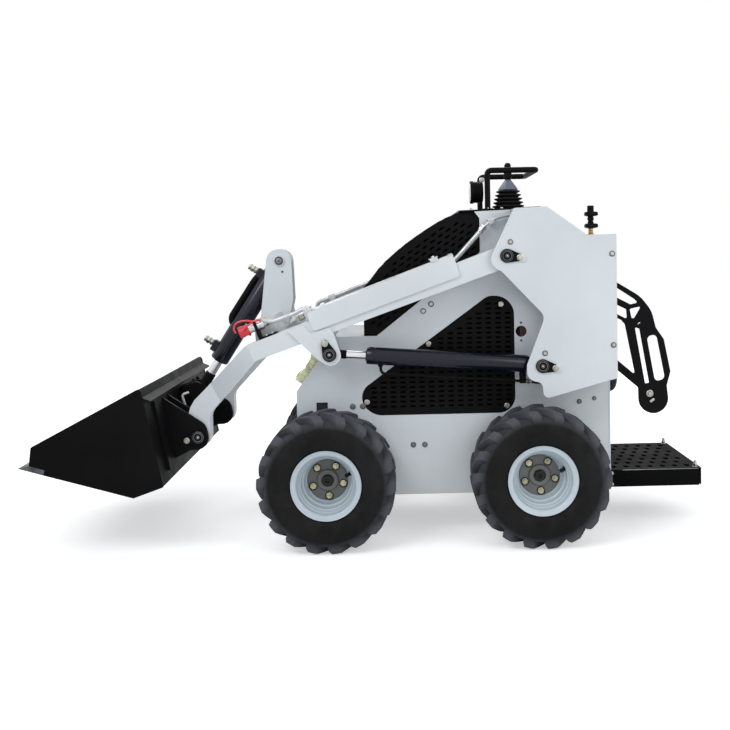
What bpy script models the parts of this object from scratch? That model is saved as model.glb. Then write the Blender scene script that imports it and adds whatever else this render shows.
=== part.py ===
"""Compact stand-on skid steer loader with a tilting bucket.

Metres. X runs from the bucket to the rear platform, -Y is the machine's left side, Z is up.
Every piece is drawn from a middle point between the axles on the ground, and the empty
named machine moves the whole to the middle of its own length.
"""
import math

import bmesh
import bpy
from mathutils import Matrix, Vector

for old in list(bpy.data.objects):
    bpy.data.objects.remove(old)

LEFT, RIGHT = -1, 1
GAP = 0.0003            # between pieces that touch
PIN_PLAY = 0.001        # round a pin that turns
SINK = 0.0005           # of a welded plate into what carries it

# Wheels
WHEELBASE = 0.744
TYRE_RADIUS = 0.240     # to the lugs' tips
WHEEL_Y = 0.4175        # wheel centre from the middle plane
LUG_HEIGHT = 0.021
LUG_PITCHES = 18        # lugs on each side of a tyre
LUG_SWEEP = math.radians(17)
RIM_RADIUS = 0.1215     # to the edge of the flange
RIM_SEAT = 0.105
RIM_WALL = 0.007
RIM_HALF = 0.0965
DISC_OFFSET = -0.0035   # outer face of the disc from the wheel centre
HUB_RADIUS = 0.062
MOTOR_RADIUS = 0.056
MOTOR_LENGTH = 0.072
AXLE_Z = TYRE_RADIUS

# Body
SHEET = 0.006
BODY_Y = 0.285          # outer face of the side plates
FRONT_X = -0.487
REAR_X = 0.652
FLOOR_Z = 0.150
NOSE_Z = 0.535
DECK_X = -0.345
DECK_Z = 0.731
DECK_END_X = -0.192
COLUMN_X = 0.187        # front edge of the tall rear part
COLUMN_LOW_Z = 1.027
TOP_FRONT_Z = 1.1775    # at the front edge of the outer plates
TOP_REAR_X = 0.410
TOP_RISE = 0.0035       # of that edge, from there to its rear end
TOP_REAR_Z = TOP_FRONT_Z + TOP_RISE
SHELF_X = 0.551
SHELF_Z = 1.079
HOOD_END_X = 0.113
ENGINE_FRONT_X = -0.190
ENGINE_REAR_X = 0.220
ENGINE_Y = 0.190
ENGINE_HEIGHT = 0.430
CHEEK_Y = 0.415         # outer face of the outer rear plates
CHEEK_SHEET = 0.008
CHEEK_FRONT_X = 0.300
CHEEK_LOW_Z = 0.576     # at the rear edge

BAR_HEIGHT = 0.146      # hand bar above the console
LAMP_HEIGHT = 0.0762
BOOT_RADIUS = 0.060
BOOT_HEIGHT = 0.100

# Lift arm
ARM_PIVOT = (0.270, 1.012)
ARM_IN_Y = 0.335
ARM_OUT_Y = 0.395
ARM_CRANK = 0.100       # how far the front legs step in
ARM_SLOPE = math.atan(0.368)
ARM_DEPTH = 0.080
ARM_END_RADIUS = 0.046
PIN_RADIUS = 0.020
ELBOW_TOP_X = -0.652
ELBOW_LOW = (-0.618, 0.661)
BUCKET_PIVOT = (-0.841, 0.383)
LEG_RADIUS = 0.040
LUG_PIVOT = (-0.356, 0.679)
LUG_PLATE = 0.010
CROSS_TUBE = (-0.580, 0.775)
CROSS_SIZE = 0.060
CROSS_END_PLATE = 0.008
ARM_PIPE_RADIUS = 0.008
SIDE_PIPE_RADIUS = 0.009
COUPLER_X = -0.571      # foot of the coupler bracket on the left arm
COUPLER_LENGTH = 0.070
TOWER_PIVOT = (-0.5655, 1.0085)
TOWER_IN_Y = 0.040
TOWER_PLATE = 0.010
TOWER_RADIUS = 0.0445

# Cylinders
LIFT_FOOT = (0.389, 0.624)
LIFT_Y = 0.362
LIFT_BARREL = 0.0310
LIFT_BARREL_START = 0.043
LIFT_BARREL_END = 0.618
LIFT_ROD = 0.0140
LIFT_ROD_LENGTH = 0.590
EYE_RADIUS = 0.027
LIFT_EYE_HALF = 0.018
FOOT_WALL = 0.014        # round the pin at a barrel's foot
TILT_BARREL = 0.0360
TILT_BARREL_START = 0.046
TILT_BARREL_END = 0.457
TILT_ROD = 0.0175
TILT_ROD_LENGTH = 0.430
TILT_EYE_HALF = 0.024
ROD_PLAY = 0.0008
TILT_EYE = (-0.887, 0.516)

# Bucket
BUCKET_Y = 0.525
BUCKET_SIDE = 0.008
BUCKET_SHEET = 0.006
BUCKET_INSET = 0.002    # shell inside the edge of the side plates
BUCKET_TIP = (-1.410, 0.328)
EDGE_BACK = (-1.325, 0.303)
BUCKET_HEEL = (-1.023, 0.217)
BUCKET_KNEE = (-0.920, 0.253)
BUCKET_BACK = (-0.981, 0.556)
BUCKET_TOP = (-0.989, 0.593)
BUCKET_LIP = (-1.364, 0.399)
EDGE_THICK = 0.018
EDGE_BEVEL = 0.032
HOOK_REACH = 0.026      # lip behind the bucket that the attach plate hangs from
HOOK_DROP = 0.008
HOOK_SHEET = 0.006
ATTACH_Y = 0.420
ATTACH_PLATE = 0.010
EAR_PLATE = 0.012
EAR_GAP = 0.005         # beside the arm's end
EAR_RADIUS = 0.045
TILT_EAR_IN = 0.032

# Platform, pad and guard
PLATFORM_X = 0.999
PLATFORM_Y = 0.244
PLATFORM_Z = 0.212
PLATFORM_DEPTH = 0.063
PLATFORM_SHEET = 0.004
PAD_Y = 0.200
PAD_LOW = 0.490
PAD_HIGH = 0.725
PAD_DEPTH = 0.058
PAD_CORNER = 0.040
GUARD_Y = -0.300
GUARD_SHEET = 0.008

machine = bpy.data.objects.new("machine", None)
bpy.context.scene.collection.objects.link(machine)
machine.location.x = -(BUCKET_TIP[0] + PLATFORM_X) / 2


def material(name, colour, roughness, metallic=0.0):
    made = bpy.data.materials.new(name)
    made.use_nodes = True
    shader = made.node_tree.nodes["Principled BSDF"]
    shader.inputs["Base Color"].default_value = (*colour, 1.0)
    shader.inputs["Roughness"].default_value = roughness
    shader.inputs["Metallic"].default_value = metallic
    return made


WHITE = material("white_paint", (0.62, 0.66, 0.69), 0.35)
BLACK = material("black_paint", (0.012, 0.012, 0.014), 0.40)
NAVY = material("cylinder_paint", (0.012, 0.014, 0.025), 0.22)
CHROME = material("chrome_rod", (0.75, 0.76, 0.78), 0.12, 1.0)
RIM_GREY = material("rim_paint", (0.45, 0.50, 0.53), 0.40)
TYRE = material("tyre_rubber", (0.013, 0.013, 0.013), 0.85)
STEEL = material("motor_steel", (0.10, 0.10, 0.11), 0.45, 0.8)
ZINC = material("yellow_zinc", (0.42, 0.43, 0.18), 0.40, 0.6)
RED = material("red_cap", (0.70, 0.03, 0.04), 0.45)
SILVER = material("bright_steel", (0.60, 0.61, 0.62), 0.30, 1.0)
RUBBER = material("soft_rubber", (0.02, 0.02, 0.02), 0.70)
LENS = material("lamp_lens", (0.80, 0.82, 0.85), 0.08)


def arc_steps(angle):
    return max(1, round(abs(angle) / math.radians(25)))


def rounded(corners):
    """Outline through corners (x, z, radius), each radius cut as an arc of short lines."""
    outline = []
    count = len(corners)
    for index, (x, z, radius) in enumerate(corners):
        corner = Vector((x, z))
        before = (Vector(corners[index - 1][:2]) - corner).normalized()
        after = (Vector(corners[(index + 1) % count][:2]) - corner).normalized()
        if radius <= 0:
            outline.append((x, z))
            continue
        half = before.angle(after) / 2
        reach = radius / math.tan(half)
        centre = corner + (before + after).normalized() * (radius / math.sin(half))
        start = corner + before * reach - centre
        sweep = start.angle_signed(corner + after * reach - centre)
        steps = arc_steps(sweep)
        for step in range(steps + 1):
            turn = Matrix.Rotation(-sweep * step / steps, 2)
            outline.append(tuple(centre + turn @ start))
    return outline


def circle(centre, radius, sides=16):
    x, z = centre
    angles = [math.tau * (side + 0.5) / sides for side in range(sides)]
    return [(x + radius * math.cos(a), z + radius * math.sin(a)) for a in angles]


def slot(centre, length, width, angle=0.0):
    """Oblong hole with ends of two lines each."""
    along = Vector((math.cos(angle), math.sin(angle)))
    across = Vector((-along.y, along.x))
    reach = length / 2 - width * 0.35
    rows = [(-reach, -0.5), (reach, -0.5), (length / 2, 0), (reach, 0.5), (-reach, 0.5), (-length / 2, 0)]
    middle = Vector(centre)
    return [tuple(middle + along * a + across * b * width) for a, b in rows]


def band(path, thick):
    """Closed outline of a bent sheet: path on one face, thick to the left of its run."""
    points = [Vector(point) for point in path]
    inner = []
    for index, point in enumerate(points):
        ahead = (points[min(index + 1, len(points) - 1)] - points[max(index, 1) - 1])
        if 0 < index < len(points) - 1:
            first = (point - points[index - 1]).normalized()
            second = (points[index + 1] - point).normalized()
            ahead = first + second
            stretch = 1 / math.cos(first.angle(second) / 2)
        else:
            stretch = 1
        side = Vector((-ahead.y, ahead.x)).normalized()
        inner.append(point + side * thick * stretch)
    return [tuple(point) for point in points] + [tuple(point) for point in reversed(inner)]


def flat_mesh(outline, holes=()):
    """One face in the XZ plane with holes left open."""
    bm = bmesh.new()
    for loop in (outline, *holes):
        corners = [bm.verts.new((x, 0, z)) for x, z in loop]
        for index, corner in enumerate(corners):
            bm.edges.new((corners[index - 1], corner))
    if holes:
        bmesh.ops.triangle_fill(bm, edges=bm.edges[:], use_beauty=True)
    else:
        bm.faces.new(bm.verts)
    return bm


def slab(outline, y_low, y_high, holes=()):
    """Solid with the outline as seen from the side, between two distances along Y."""
    bm = flat_mesh(outline, holes)
    bmesh.ops.translate(bm, verts=bm.verts, vec=(0, y_low, 0))
    grown = bmesh.ops.extrude_face_region(bm, geom=bm.faces[:])
    fresh = [item for item in grown["geom"] if isinstance(item, bmesh.types.BMVert)]
    bmesh.ops.translate(bm, verts=fresh, vec=(0, y_high - y_low, 0))
    bmesh.ops.recalc_face_normals(bm, faces=bm.faces)
    return bm


def box(low, high):
    outline = [(low[0], low[2]), (high[0], low[2]), (high[0], high[2]), (low[0], high[2])]
    return slab(outline, low[1], high[1])


def sided(side, near, far):
    """Distances along Y, low to high, for a piece between near and far on one side."""
    return tuple(sorted((side * near, side * far)))


def lathe(profile, sides, closed=False):
    """Solid turned about Y from (radius, y) points: ends on the axis, or a closed loop."""
    bm = bmesh.new()
    rings = []
    for radius, y in profile:
        if radius == 0:
            rings.append([bm.verts.new((0, y, 0))])
            continue
        angles = [math.tau * side / sides for side in range(sides)]
        ring = [bm.verts.new((radius * math.cos(a), y, radius * math.sin(a))) for a in angles]
        rings.append(ring)
    pairs = list(zip(rings, rings[1:]))
    if closed:
        pairs.append((rings[-1], rings[0]))
    for first, second in pairs:
        for side in range(sides):
            after = (side + 1) % sides
            corners = [first[side % len(first)], first[after % len(first)],
                       second[after % len(second)], second[side % len(second)]]
            bm.faces.new(list(dict.fromkeys(corners)))
    bmesh.ops.recalc_face_normals(bm, faces=bm.faces)
    return bm


def moved(bm, offset=(0, 0, 0), turn=0.0, axis="Y"):
    bmesh.ops.rotate(bm, verts=bm.verts, matrix=Matrix.Rotation(turn, 3, axis))
    bmesh.ops.translate(bm, verts=bm.verts, vec=offset)
    return bm


def mirrored(bm):
    """The same solid on the other side of the middle plane."""
    for vert in bm.verts:
        vert.co.y = -vert.co.y
    bmesh.ops.reverse_faces(bm, faces=bm.faces)
    return bm


def to_mesh(bm, name):
    mesh = bpy.data.meshes.new(name)
    bm.to_mesh(mesh)
    bm.free()
    return mesh


def united(first, others, operation="UNION"):
    """One solid from several by exact Booleans."""
    base = bpy.data.objects.new("base", to_mesh(first, "base"))
    bpy.context.scene.collection.objects.link(base)
    tools = []
    for other in others:
        tool = bpy.data.objects.new("tool", to_mesh(other, "tool"))
        bpy.context.scene.collection.objects.link(tool)
        modifier = base.modifiers.new("join", "BOOLEAN")
        modifier.operation = operation
        modifier.solver = "EXACT"
        modifier.object = tool
        tools.append(tool)
    bpy.context.view_layer.update()
    result = bmesh.new()
    result.from_object(base, bpy.context.evaluated_depsgraph_get())
    for helper in (base, *tools):
        bpy.data.objects.remove(helper)
    bmesh.ops.remove_doubles(result, verts=result.verts, dist=0.00001)
    flat = math.radians(0.05)
    bmesh.ops.dissolve_limit(result, angle_limit=flat, verts=result.verts, edges=result.edges)
    return result


def piece(name, bm, finish, pivot=(0, 0, 0), smooth=False):
    """Object named after its sub-part with its origin on the pivot."""
    bmesh.ops.translate(bm, verts=bm.verts, vec=-Vector(pivot))
    mesh = to_mesh(bm, name)
    mesh.materials.append(finish)
    if smooth:
        mesh.shade_smooth()
        mesh.set_sharp_from_angle(angle=math.radians(35))
    made = bpy.data.objects.new(name, mesh)
    made.location = pivot
    made.parent = machine
    bpy.context.scene.collection.objects.link(made)
    return made


def side_name(side):
    return "left" if side == LEFT else "right"


def top_line(x):
    """Height of the top edge of the tall rear part, which rises a little to the rear."""
    rise = (TOP_REAR_Z - TOP_FRONT_Z) / (TOP_REAR_X - CHEEK_FRONT_X)
    return TOP_FRONT_Z + rise * (x - CHEEK_FRONT_X)


def console_top(x):
    return top_line(x) + SHEET + 2.5 * GAP


def body_outline():
    low_deck = SHEET + GAP
    step_x = CHEEK_FRONT_X - 0.001
    return rounded([
        (FRONT_X, FLOOR_Z, 0.004),
        (REAR_X - low_deck, FLOOR_Z, 0), (REAR_X - low_deck, SHELF_Z - low_deck, 0),
        (SHELF_X - 0.002, SHELF_Z - low_deck, 0), (TOP_REAR_X - 0.002, TOP_REAR_Z - low_deck, 0),
        (step_x, TOP_FRONT_Z - low_deck - 0.0002, 0), (step_x, top_line(step_x) - GAP, 0),
        (COLUMN_X, top_line(COLUMN_X) - GAP, 0.006),
        (COLUMN_X, COLUMN_LOW_Z, 0), (DECK_END_X, DECK_Z, 0), (DECK_X, DECK_Z, 0.004),
        (FRONT_X, NOSE_Z, 0.004)])


# Openings of the side plates, their corners as x, z, radius
VENT_CORNERS = [
    (-0.270, 0.522, 0.030), (-0.188, 0.441, 0.015), (0.307, 0.441, 0.060),
    (0.307, 0.868, 0.070), (0.212, 0.868, 0.045)]
SIGHT_HOLE = (0.3315, 0.737)
SIGHT_RADIUS = 0.020
FRONT_PORT = [(-0.416, 0.452, 0.003), (-0.375, 0.452, 0.003), (-0.375, 0.493, 0.003), (-0.416, 0.493, 0.003)]


def side_plate(side):
    holes = [rounded(VENT_CORNERS), circle(SIGHT_HOLE, SIGHT_RADIUS), rounded(FRONT_PORT)]
    plate = slab(body_outline(), *sided(side, BODY_Y - SHEET, BODY_Y), holes)
    piece("side_plate_" + side_name(side), plate, WHITE)


def cheek_outline():
    return rounded([
        (CHEEK_FRONT_X - 0.004, TOP_FRONT_Z, 0.010), (TOP_REAR_X, TOP_REAR_Z, 0.015),
        (SHELF_X, SHELF_Z, 0.020), (REAR_X, SHELF_Z + 0.002, 0.004), (REAR_X, CHEEK_LOW_Z, 0.006),
        (0.392, 0.506, 0.020), (0.387, 0.564, 0.020), (0.334, 0.577, 0.034), (0.334, 0.628, 0.020),
        (0.400, 0.798, 0.035), (0.250, 0.958, 0.030), (0.200, 0.982, 0.040)])


def outer_plate(side):
    """Plate outside the arm's rear end, with the pins that the arm and the cylinder turn on."""
    inner_y = CHEEK_Y - CHEEK_SHEET
    plate = slab(cheek_outline(), *sided(side, inner_y, CHEEK_Y))
    pins = []
    for pivot in (ARM_PIVOT, LIFT_FOOT):
        reach = sided(side, BODY_Y + GAP, inner_y + CHEEK_SHEET / 2)
        pins.append(slab(circle(pivot, PIN_RADIUS), *reach))
    piece("outer_plate_" + side_name(side), united(plate, pins), WHITE)


def body_sheets():
    """Floor, front, rear and top sheets between the side plates."""
    inner_y = BODY_Y - SHEET - GAP
    cheek_y = CHEEK_Y - CHEEK_SHEET - GAP
    front = band([(DECK_END_X, DECK_Z), (DECK_X, DECK_Z), (FRONT_X, NOSE_Z), (FRONT_X, FLOOR_Z)], SHEET)
    piece("front_plate", slab(front, -inner_y, inner_y), WHITE)
    front_end = FRONT_X + SHEET + GAP
    rear_end = REAR_X - SHEET - GAP
    floor = box((front_end, -inner_y, FLOOR_Z), (rear_end, inner_y, FLOOR_Z + SHEET))
    piece("floor_plate", floor, WHITE)
    top = SHELF_Z - SHEET - GAP
    wide = CHEEK_LOW_Z
    rear = [(-BODY_Y, FLOOR_Z), (BODY_Y, FLOOR_Z), (BODY_Y, wide), (cheek_y, wide), (cheek_y, top),
            (-cheek_y, top), (-cheek_y, wide), (-BODY_Y, wide)]
    wall = slab(rear, -REAR_X, SHEET - REAR_X)
    piece("rear_plate", moved(wall, turn=math.pi / 2, axis="Z"), WHITE)
    deck = band([(REAR_X, SHELF_Z), (SHELF_X, SHELF_Z), (TOP_REAR_X, TOP_REAR_Z),
                 (CHEEK_FRONT_X, TOP_FRONT_Z)], SHEET)
    piece("rear_deck", slab(deck, -cheek_y, cheek_y), WHITE)
    lift = GAP + SHEET
    back_x = TOP_REAR_X - 0.002
    top_plate = band([(back_x, top_line(back_x) + lift), (HOOD_END_X, top_line(HOOD_END_X) + lift)], SHEET)
    piece("console_plate", slab(top_plate, -BODY_Y, BODY_Y), BLACK)


def vent_grille(side):
    """Slotted sheet close behind the opening of a side plate."""
    corners = [(-0.300, 0.520, 0.030), (-0.200, 0.420, 0.015), (0.330, 0.420, 0.050),
               (0.330, 0.890, 0.050), (0.212, 0.890, 0.040)]
    holes = []
    columns, rows = 7, 5
    for row in range(rows):
        for column in range(columns):
            x = -0.130 + 0.064 * column + 0.032 * (row % 2)
            z = 0.475 + 0.080 * row
            if 0.62 + 0.66 * x > z and x < 0.285:
                holes.append(slot((x, z), 0.038, 0.018))
    inner = BODY_Y - SHEET - GAP
    grille = slab(rounded(corners), *sided(side, inner - 0.003, inner), holes)
    piece("vent_grille_" + side_name(side), grille, BLACK)


# The hood's side profile: how far up it is, from the deck's top to its own end.
HOOD_CURVE = [(-0.238, 0.3978), (-0.217, 0.4478), (-0.172, 0.5796), (-0.097, 0.7274), (-0.022, 0.8456),
              (0.053, 0.9478), (HOOD_END_X, 1.0)]
HOOD_TOP_Z = top_line(HOOD_END_X) - 2 * GAP


def hood_height(share):
    return DECK_Z + share * (HOOD_TOP_Z - DECK_Z)


HOOD_PATH = [(-0.238, DECK_Z + 0.0005)] + [(x, hood_height(share)) for x, share in HOOD_CURVE]
HOOD_Y = 0.270
HOOD_TUCK = 0.010       # of its side walls behind the column
HOOD_SHEET = 0.004


def hood():
    """Curved engine cover: a slotted sheet bent along its side profile, with two side walls."""
    lengths = [0.0]
    for start, end in zip(HOOD_PATH, HOOD_PATH[1:]):
        lengths.append(lengths[-1] + math.dist(start, end))
    holes = []
    rows, columns = 8, 5
    for row in range(rows):
        for column in range(columns):
            across = (column - (columns - 1) / 2) * 0.094 + 0.023 * (-1) ** row
            holes.append(slot((0.115 + 0.048 * row, across), 0.060, 0.018, math.pi / 2))
    flat = slab([(0, -HOOD_Y), (lengths[-1], -HOOD_Y), (lengths[-1], HOOD_Y), (0, HOOD_Y)],
                0, HOOD_SHEET, holes)
    for length in lengths[1:-1]:
        geometry = flat.verts[:] + flat.edges[:] + flat.faces[:]
        bmesh.ops.bisect_plane(flat, geom=geometry, plane_co=(length, 0, 0), plane_no=(1, 0, 0))
    outer = [Vector(point) for point in HOOD_PATH]
    count = len(HOOD_PATH)
    inner = [Vector(point) for point in reversed(band(HOOD_PATH, -HOOD_SHEET)[count:])]
    for vert in flat.verts:
        run, depth, across = vert.co
        index = max(i for i in range(count - 1) if lengths[i] <= run + 1e-6)
        share = (run - lengths[index]) / (lengths[index + 1] - lengths[index])
        top = outer[index].lerp(outer[index + 1], share)
        low = inner[index].lerp(inner[index + 1], share)
        x, z = top.lerp(low, depth / HOOD_SHEET)
        vert.co = (x, across, z)
    bmesh.ops.recalc_face_normals(flat, faces=flat.faces)
    half = [tuple(point) for point in band(HOOD_PATH, -HOOD_SHEET / 2)[count:]][::-1]
    wall_x = COLUMN_X + HOOD_TUCK
    foot = [(wall_x, top_line(wall_x) - 2 * GAP - HOOD_SHEET / 2), (wall_x, COLUMN_LOW_Z - 0.040),
            (DECK_END_X + 0.020, DECK_Z + 0.0065), (-0.230, DECK_Z + 0.0065)]
    walls = [slab(half + foot, *sided(side, HOOD_Y - HOOD_SHEET, HOOD_Y - 0.0001)) for side in (LEFT, RIGHT)]
    piece("hood", united(flat, walls), BLACK)


def tube(path, radius, sides=10):
    """Closed round bar along points in space, with mitred corners."""
    points = [Vector(point) for point in path]
    bm = bmesh.new()
    rings = []
    across = Vector((0, 1, 0))
    if abs((points[1] - points[0]).normalized().y) > 0.9:
        across = Vector((1, 0, 0))
    for index, point in enumerate(points):
        before = (point - points[index - 1]).normalized() if index else None
        after = (points[index + 1] - point).normalized() if index + 1 < len(points) else None
        run = after or before
        if before:
            run = before
        across = (across - run * across.dot(run)).normalized()
        other = run.cross(across)
        plane = (before + after).normalized() if before and after else run
        ring = []
        for side in range(sides):
            angle = math.tau * side / sides
            spoke = (across * math.cos(angle) + other * math.sin(angle)) * radius
            ring.append(bm.verts.new(point + spoke - run * (spoke.dot(plane) / run.dot(plane))))
        rings.append(ring)
        if before and after:
            across = before.rotation_difference(after) @ across
    for first, second in zip(rings, rings[1:]):
        for side in range(sides):
            after = (side + 1) % sides
            bm.faces.new((first[side], first[after], second[after], second[side]))
    bm.faces.new(rings[0])
    bm.faces.new(rings[-1])
    bmesh.ops.recalc_face_normals(bm, faces=bm.faces)
    return bm


# Turned pieces on the console and the deck: (radius, height)
LEVER_ROWS = [(0, 0), (0.012, 0), (0.012, 0.048), (0.016, 0.056), (0.017, 0.066), (0.012, 0.078), (0, 0.082)]
VALVE_ROWS = [(0, 0), (0.014, 0), (0.014, 0.005), (0.008, 0.007), (0.008, 0.024), (0.024, 0.027),
              (0.024, 0.042), (0.010, 0.047), (0.010, 0.067), (0.024, 0.071), (0.024, 0.084),
              (0.011, 0.087), (0.011, 0.108), (0, 0.108)]


def console_parts():
    """Hand bar, lever with bellows, work lamp and the valve on the rear deck."""
    bar_x, bar_end, bar_y, bend = 0.229, 0.411, 0.165, 0.014
    bar_z = console_top(bar_x) + BAR_HEIGHT
    foot_z = console_top(bar_x + 0.011)
    path = [(bar_x, -bar_y, foot_z), (bar_x, -bar_y, bar_z - bend), (bar_x + bend, -bar_y, bar_z),
            (bar_end - bend, -bar_y, bar_z), (bar_end, bend - bar_y, bar_z), (bar_end, bar_y - bend, bar_z),
            (bar_end - bend, bar_y, bar_z), (bar_x + bend, bar_y, bar_z), (bar_x, bar_y, bar_z - bend),
            (bar_x, bar_y, foot_z)]
    piece("grab_bar", tube(path, 0.011, 8), BLACK)
    lever = (0.324, 0.0, console_top(0.324 + BOOT_RADIUS))
    folds = 5
    rings = [(0, 0), (BOOT_RADIUS, 0)]
    for fold in range(folds):
        wide = BOOT_RADIUS - 0.0055 * fold
        rings += [(wide, 0.004 + 0.0135 * fold), (wide - 0.009, 0.011 + 0.0135 * fold)]
    rings += [(0.034, 0.071), (0.015, BOOT_HEIGHT), (0, BOOT_HEIGHT)]
    boot = lathe(rings, 12)
    piece("lever_boot", moved(moved(boot, turn=math.pi / 2, axis="X"), lever), RUBBER, lever, True)
    foot_z = lever[2] + BOOT_HEIGHT + GAP
    stick = lathe(LEVER_ROWS, 12)
    stick = moved(moved(stick, turn=math.pi / 2, axis="X"), (lever[0], 0, foot_z))
    piece("control_lever", stick, BLACK, (lever[0], 0, foot_z), True)
    lamp_x = 0.222
    lamp_z = console_top(lamp_x) + LAMP_HEIGHT
    profile = [(0, 0), (0.030, 0), (0.043, 0.018), (0.043, 0.046), (0.038, 0.046), (0.038, 0.040), (0, 0.040)]
    shell = moved(lathe(profile, 16), turn=math.pi / 2, axis="Z")
    shell = moved(shell, (lamp_x, 0, lamp_z))
    stalk = box((lamp_x - 0.016, -0.010, console_top(lamp_x)), (lamp_x - 0.004, 0.010, lamp_z - 0.020))
    piece("work_lamp", united(shell, [stalk]), BLACK, (lamp_x, 0, lamp_z))
    face = moved(lathe([(0, 0), (0.0375, 0), (0.0375, 0.004), (0, 0.006)], 16), turn=math.pi / 2, axis="Z")
    piece("lamp_lens", moved(face, (lamp_x - 0.040 - GAP, 0, lamp_z)), LENS, (lamp_x, 0, lamp_z))
    valve = (0.595, -0.250, SHELF_Z + GAP)
    stack = moved(moved(lathe(VALVE_ROWS, 12), turn=math.pi / 2, axis="X"), valve)
    piece("deck_valve", stack, STEEL, valve, True)


def inner_parts():
    """Engine, wheel motors and the valve block on the nose."""
    floor = FLOOR_Z + SHEET + GAP
    block = box((ENGINE_FRONT_X, -ENGINE_Y, floor), (ENGINE_REAR_X, ENGINE_Y, floor + ENGINE_HEIGHT))
    piece("engine_block", block, STEEL)
    for axle, x in (("front", -WHEELBASE / 2), ("rear", WHEELBASE / 2)):
        for side in (LEFT, RIGHT):
            start = BODY_Y + GAP
            rows = [(0, start), (MOTOR_RADIUS + 0.012, start), (MOTOR_RADIUS + 0.012, start + 0.010),
                    (MOTOR_RADIUS, start + 0.012), (MOTOR_RADIUS, start + MOTOR_LENGTH),
                    (0, start + MOTOR_LENGTH)]
            motor = lathe(rows, 16)
            if side == LEFT:
                motor = mirrored(motor)
            centre = (x, 0, AXLE_Z)
            piece(f"wheel_motor_{axle}_{side_name(side)}", moved(motor, centre), STEEL, centre, True)
    slope = Vector((DECK_X - FRONT_X, DECK_Z - NOSE_Z)).normalized()
    out = Vector((-slope.y, slope.x))
    start = Vector((FRONT_X, NOSE_Z)) + slope * 0.030 + out * GAP
    steps = [(0, 0), (0.120, 0), (0.120, 0.030), (0.066, 0.030), (0.066, 0.022), (0.050, 0.022),
             (0.050, 0.030), (0, 0.030)]
    outline = [tuple(start + slope * along + out * high) for along, high in steps]
    piece("nose_valve_block", slab(outline, -0.270, -0.130), ZINC)


# Half of a tyre's section, bead to tread: distance from its middle plane, radius
TYRE_ROWS = [(0.0900, 0.1053), (0.0900, 0.1225), (0.1060, 0.1500), (0.1050, 0.1920),
             (0.0950, 0.2115), (0.0060, 0.2190)]
# Height of a lug above rows of that table
LUG_ROWS = {3: 0.004, 4: 0.0195, 5: LUG_HEIGHT}


def tyre_mesh():
    """Carcass and chevron lugs on one grid, whose columns sweep with the lugs."""
    bm = bmesh.new()
    columns = LUG_PITCHES * 2
    rows = [(y, radius) for y, radius in TYRE_ROWS] + [(-y, radius) for y, radius in reversed(TYRE_ROWS)]
    last = len(TYRE_ROWS) - 1

    def point(row, column, rise=0.0):
        y, radius = rows[row]
        swept = max(0.0, (TYRE_ROWS[last - 1][0] - abs(y)) / TYRE_ROWS[last - 1][0])
        angle = math.tau * column / columns + LUG_SWEEP * swept
        return ((radius + rise) * math.cos(angle), y, (radius + rise) * math.sin(angle))

    grid = [[bm.verts.new(point(row, column)) for column in range(columns)] for row in range(len(rows))]
    lugs = []
    for row in range(len(rows)):
        below = (row + 1) % len(rows)
        inner = min(row, 2 * last + 1 - below) if below else 0
        for column in range(columns):
            after = (column + 1) % columns
            near, far = grid[row], grid[below]
            face = bm.faces.new((near[column], near[after], far[after], far[column]))
            on_tread = inner in (3, 4) and below
            near_side = row < last
            if on_tread and column % 2 == (0 if near_side else 1):
                lugs.append((column, near_side, face))
    bmesh.ops.recalc_face_normals(bm, faces=bm.faces)
    by_lug = {}
    for column, near_side, face in lugs:
        by_lug.setdefault((column, near_side), []).append(face)
    for faces in by_lug.values():
        grown = bmesh.ops.extrude_face_region(bm, geom=faces)
        bmesh.ops.delete(bm, geom=faces, context="FACES_ONLY")
        for vert in [item for item in grown["geom"] if isinstance(item, bmesh.types.BMVert)]:
            place = Vector((vert.co.x, 0, vert.co.z))
            misses = [abs(y - abs(vert.co.y)) + abs(radius - place.length) for y, radius in TYRE_ROWS]
            vert.co += place.normalized() * LUG_ROWS[misses.index(min(misses))]
    bmesh.ops.recalc_face_normals(bm, faces=bm.faces)
    return bm


def wheels():
    """Tyres and rims on the four axles."""
    # Radius, distance outwards from the wheel's middle plane
    rim_rows = [
        (0, 0.010), (0.034, 0.010), (0.038, DISC_OFFSET), (0.092, DISC_OFFSET),
        (RIM_SEAT - RIM_WALL, 0.012), (RIM_SEAT - RIM_WALL, 0.084), (RIM_RADIUS - 0.004, RIM_HALF),
        (RIM_RADIUS, RIM_HALF), (RIM_RADIUS, 0.0903), (RIM_SEAT, 0.0903), (RIM_SEAT, -0.0903),
        (RIM_RADIUS, -0.0903), (RIM_RADIUS, -RIM_HALF), (RIM_RADIUS - 0.006, -RIM_HALF),
        (RIM_SEAT - RIM_WALL, -0.084), (RIM_SEAT - RIM_WALL, DISC_OFFSET - 0.008),
        (HUB_RADIUS, DISC_OFFSET - 0.008), (HUB_RADIUS, BODY_Y + MOTOR_LENGTH + 0.001 - WHEEL_Y),
        (0, BODY_Y + MOTOR_LENGTH + 0.001 - WHEEL_Y)]
    for axle, x in (("front", -WHEELBASE / 2), ("rear", WHEELBASE / 2)):
        for side in (LEFT, RIGHT):
            centre = (x, side * WHEEL_Y, AXLE_Z)
            rim = lathe(rim_rows, 18)
            tyre = tyre_mesh()
            if side == LEFT:
                rim = mirrored(rim)
            label = f"{axle}_{side_name(side)}"
            piece("rim_" + label, moved(rim, centre), RIM_GREY, centre, True)
            piece("tyre_" + label, moved(tyre, centre), TYRE, centre)


def arm_top(x):
    along = math.tan(ARM_SLOPE)
    return ARM_PIVOT[1] + (x - ARM_PIVOT[0]) * along + ARM_DEPTH / 2 / math.cos(ARM_SLOPE)


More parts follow.
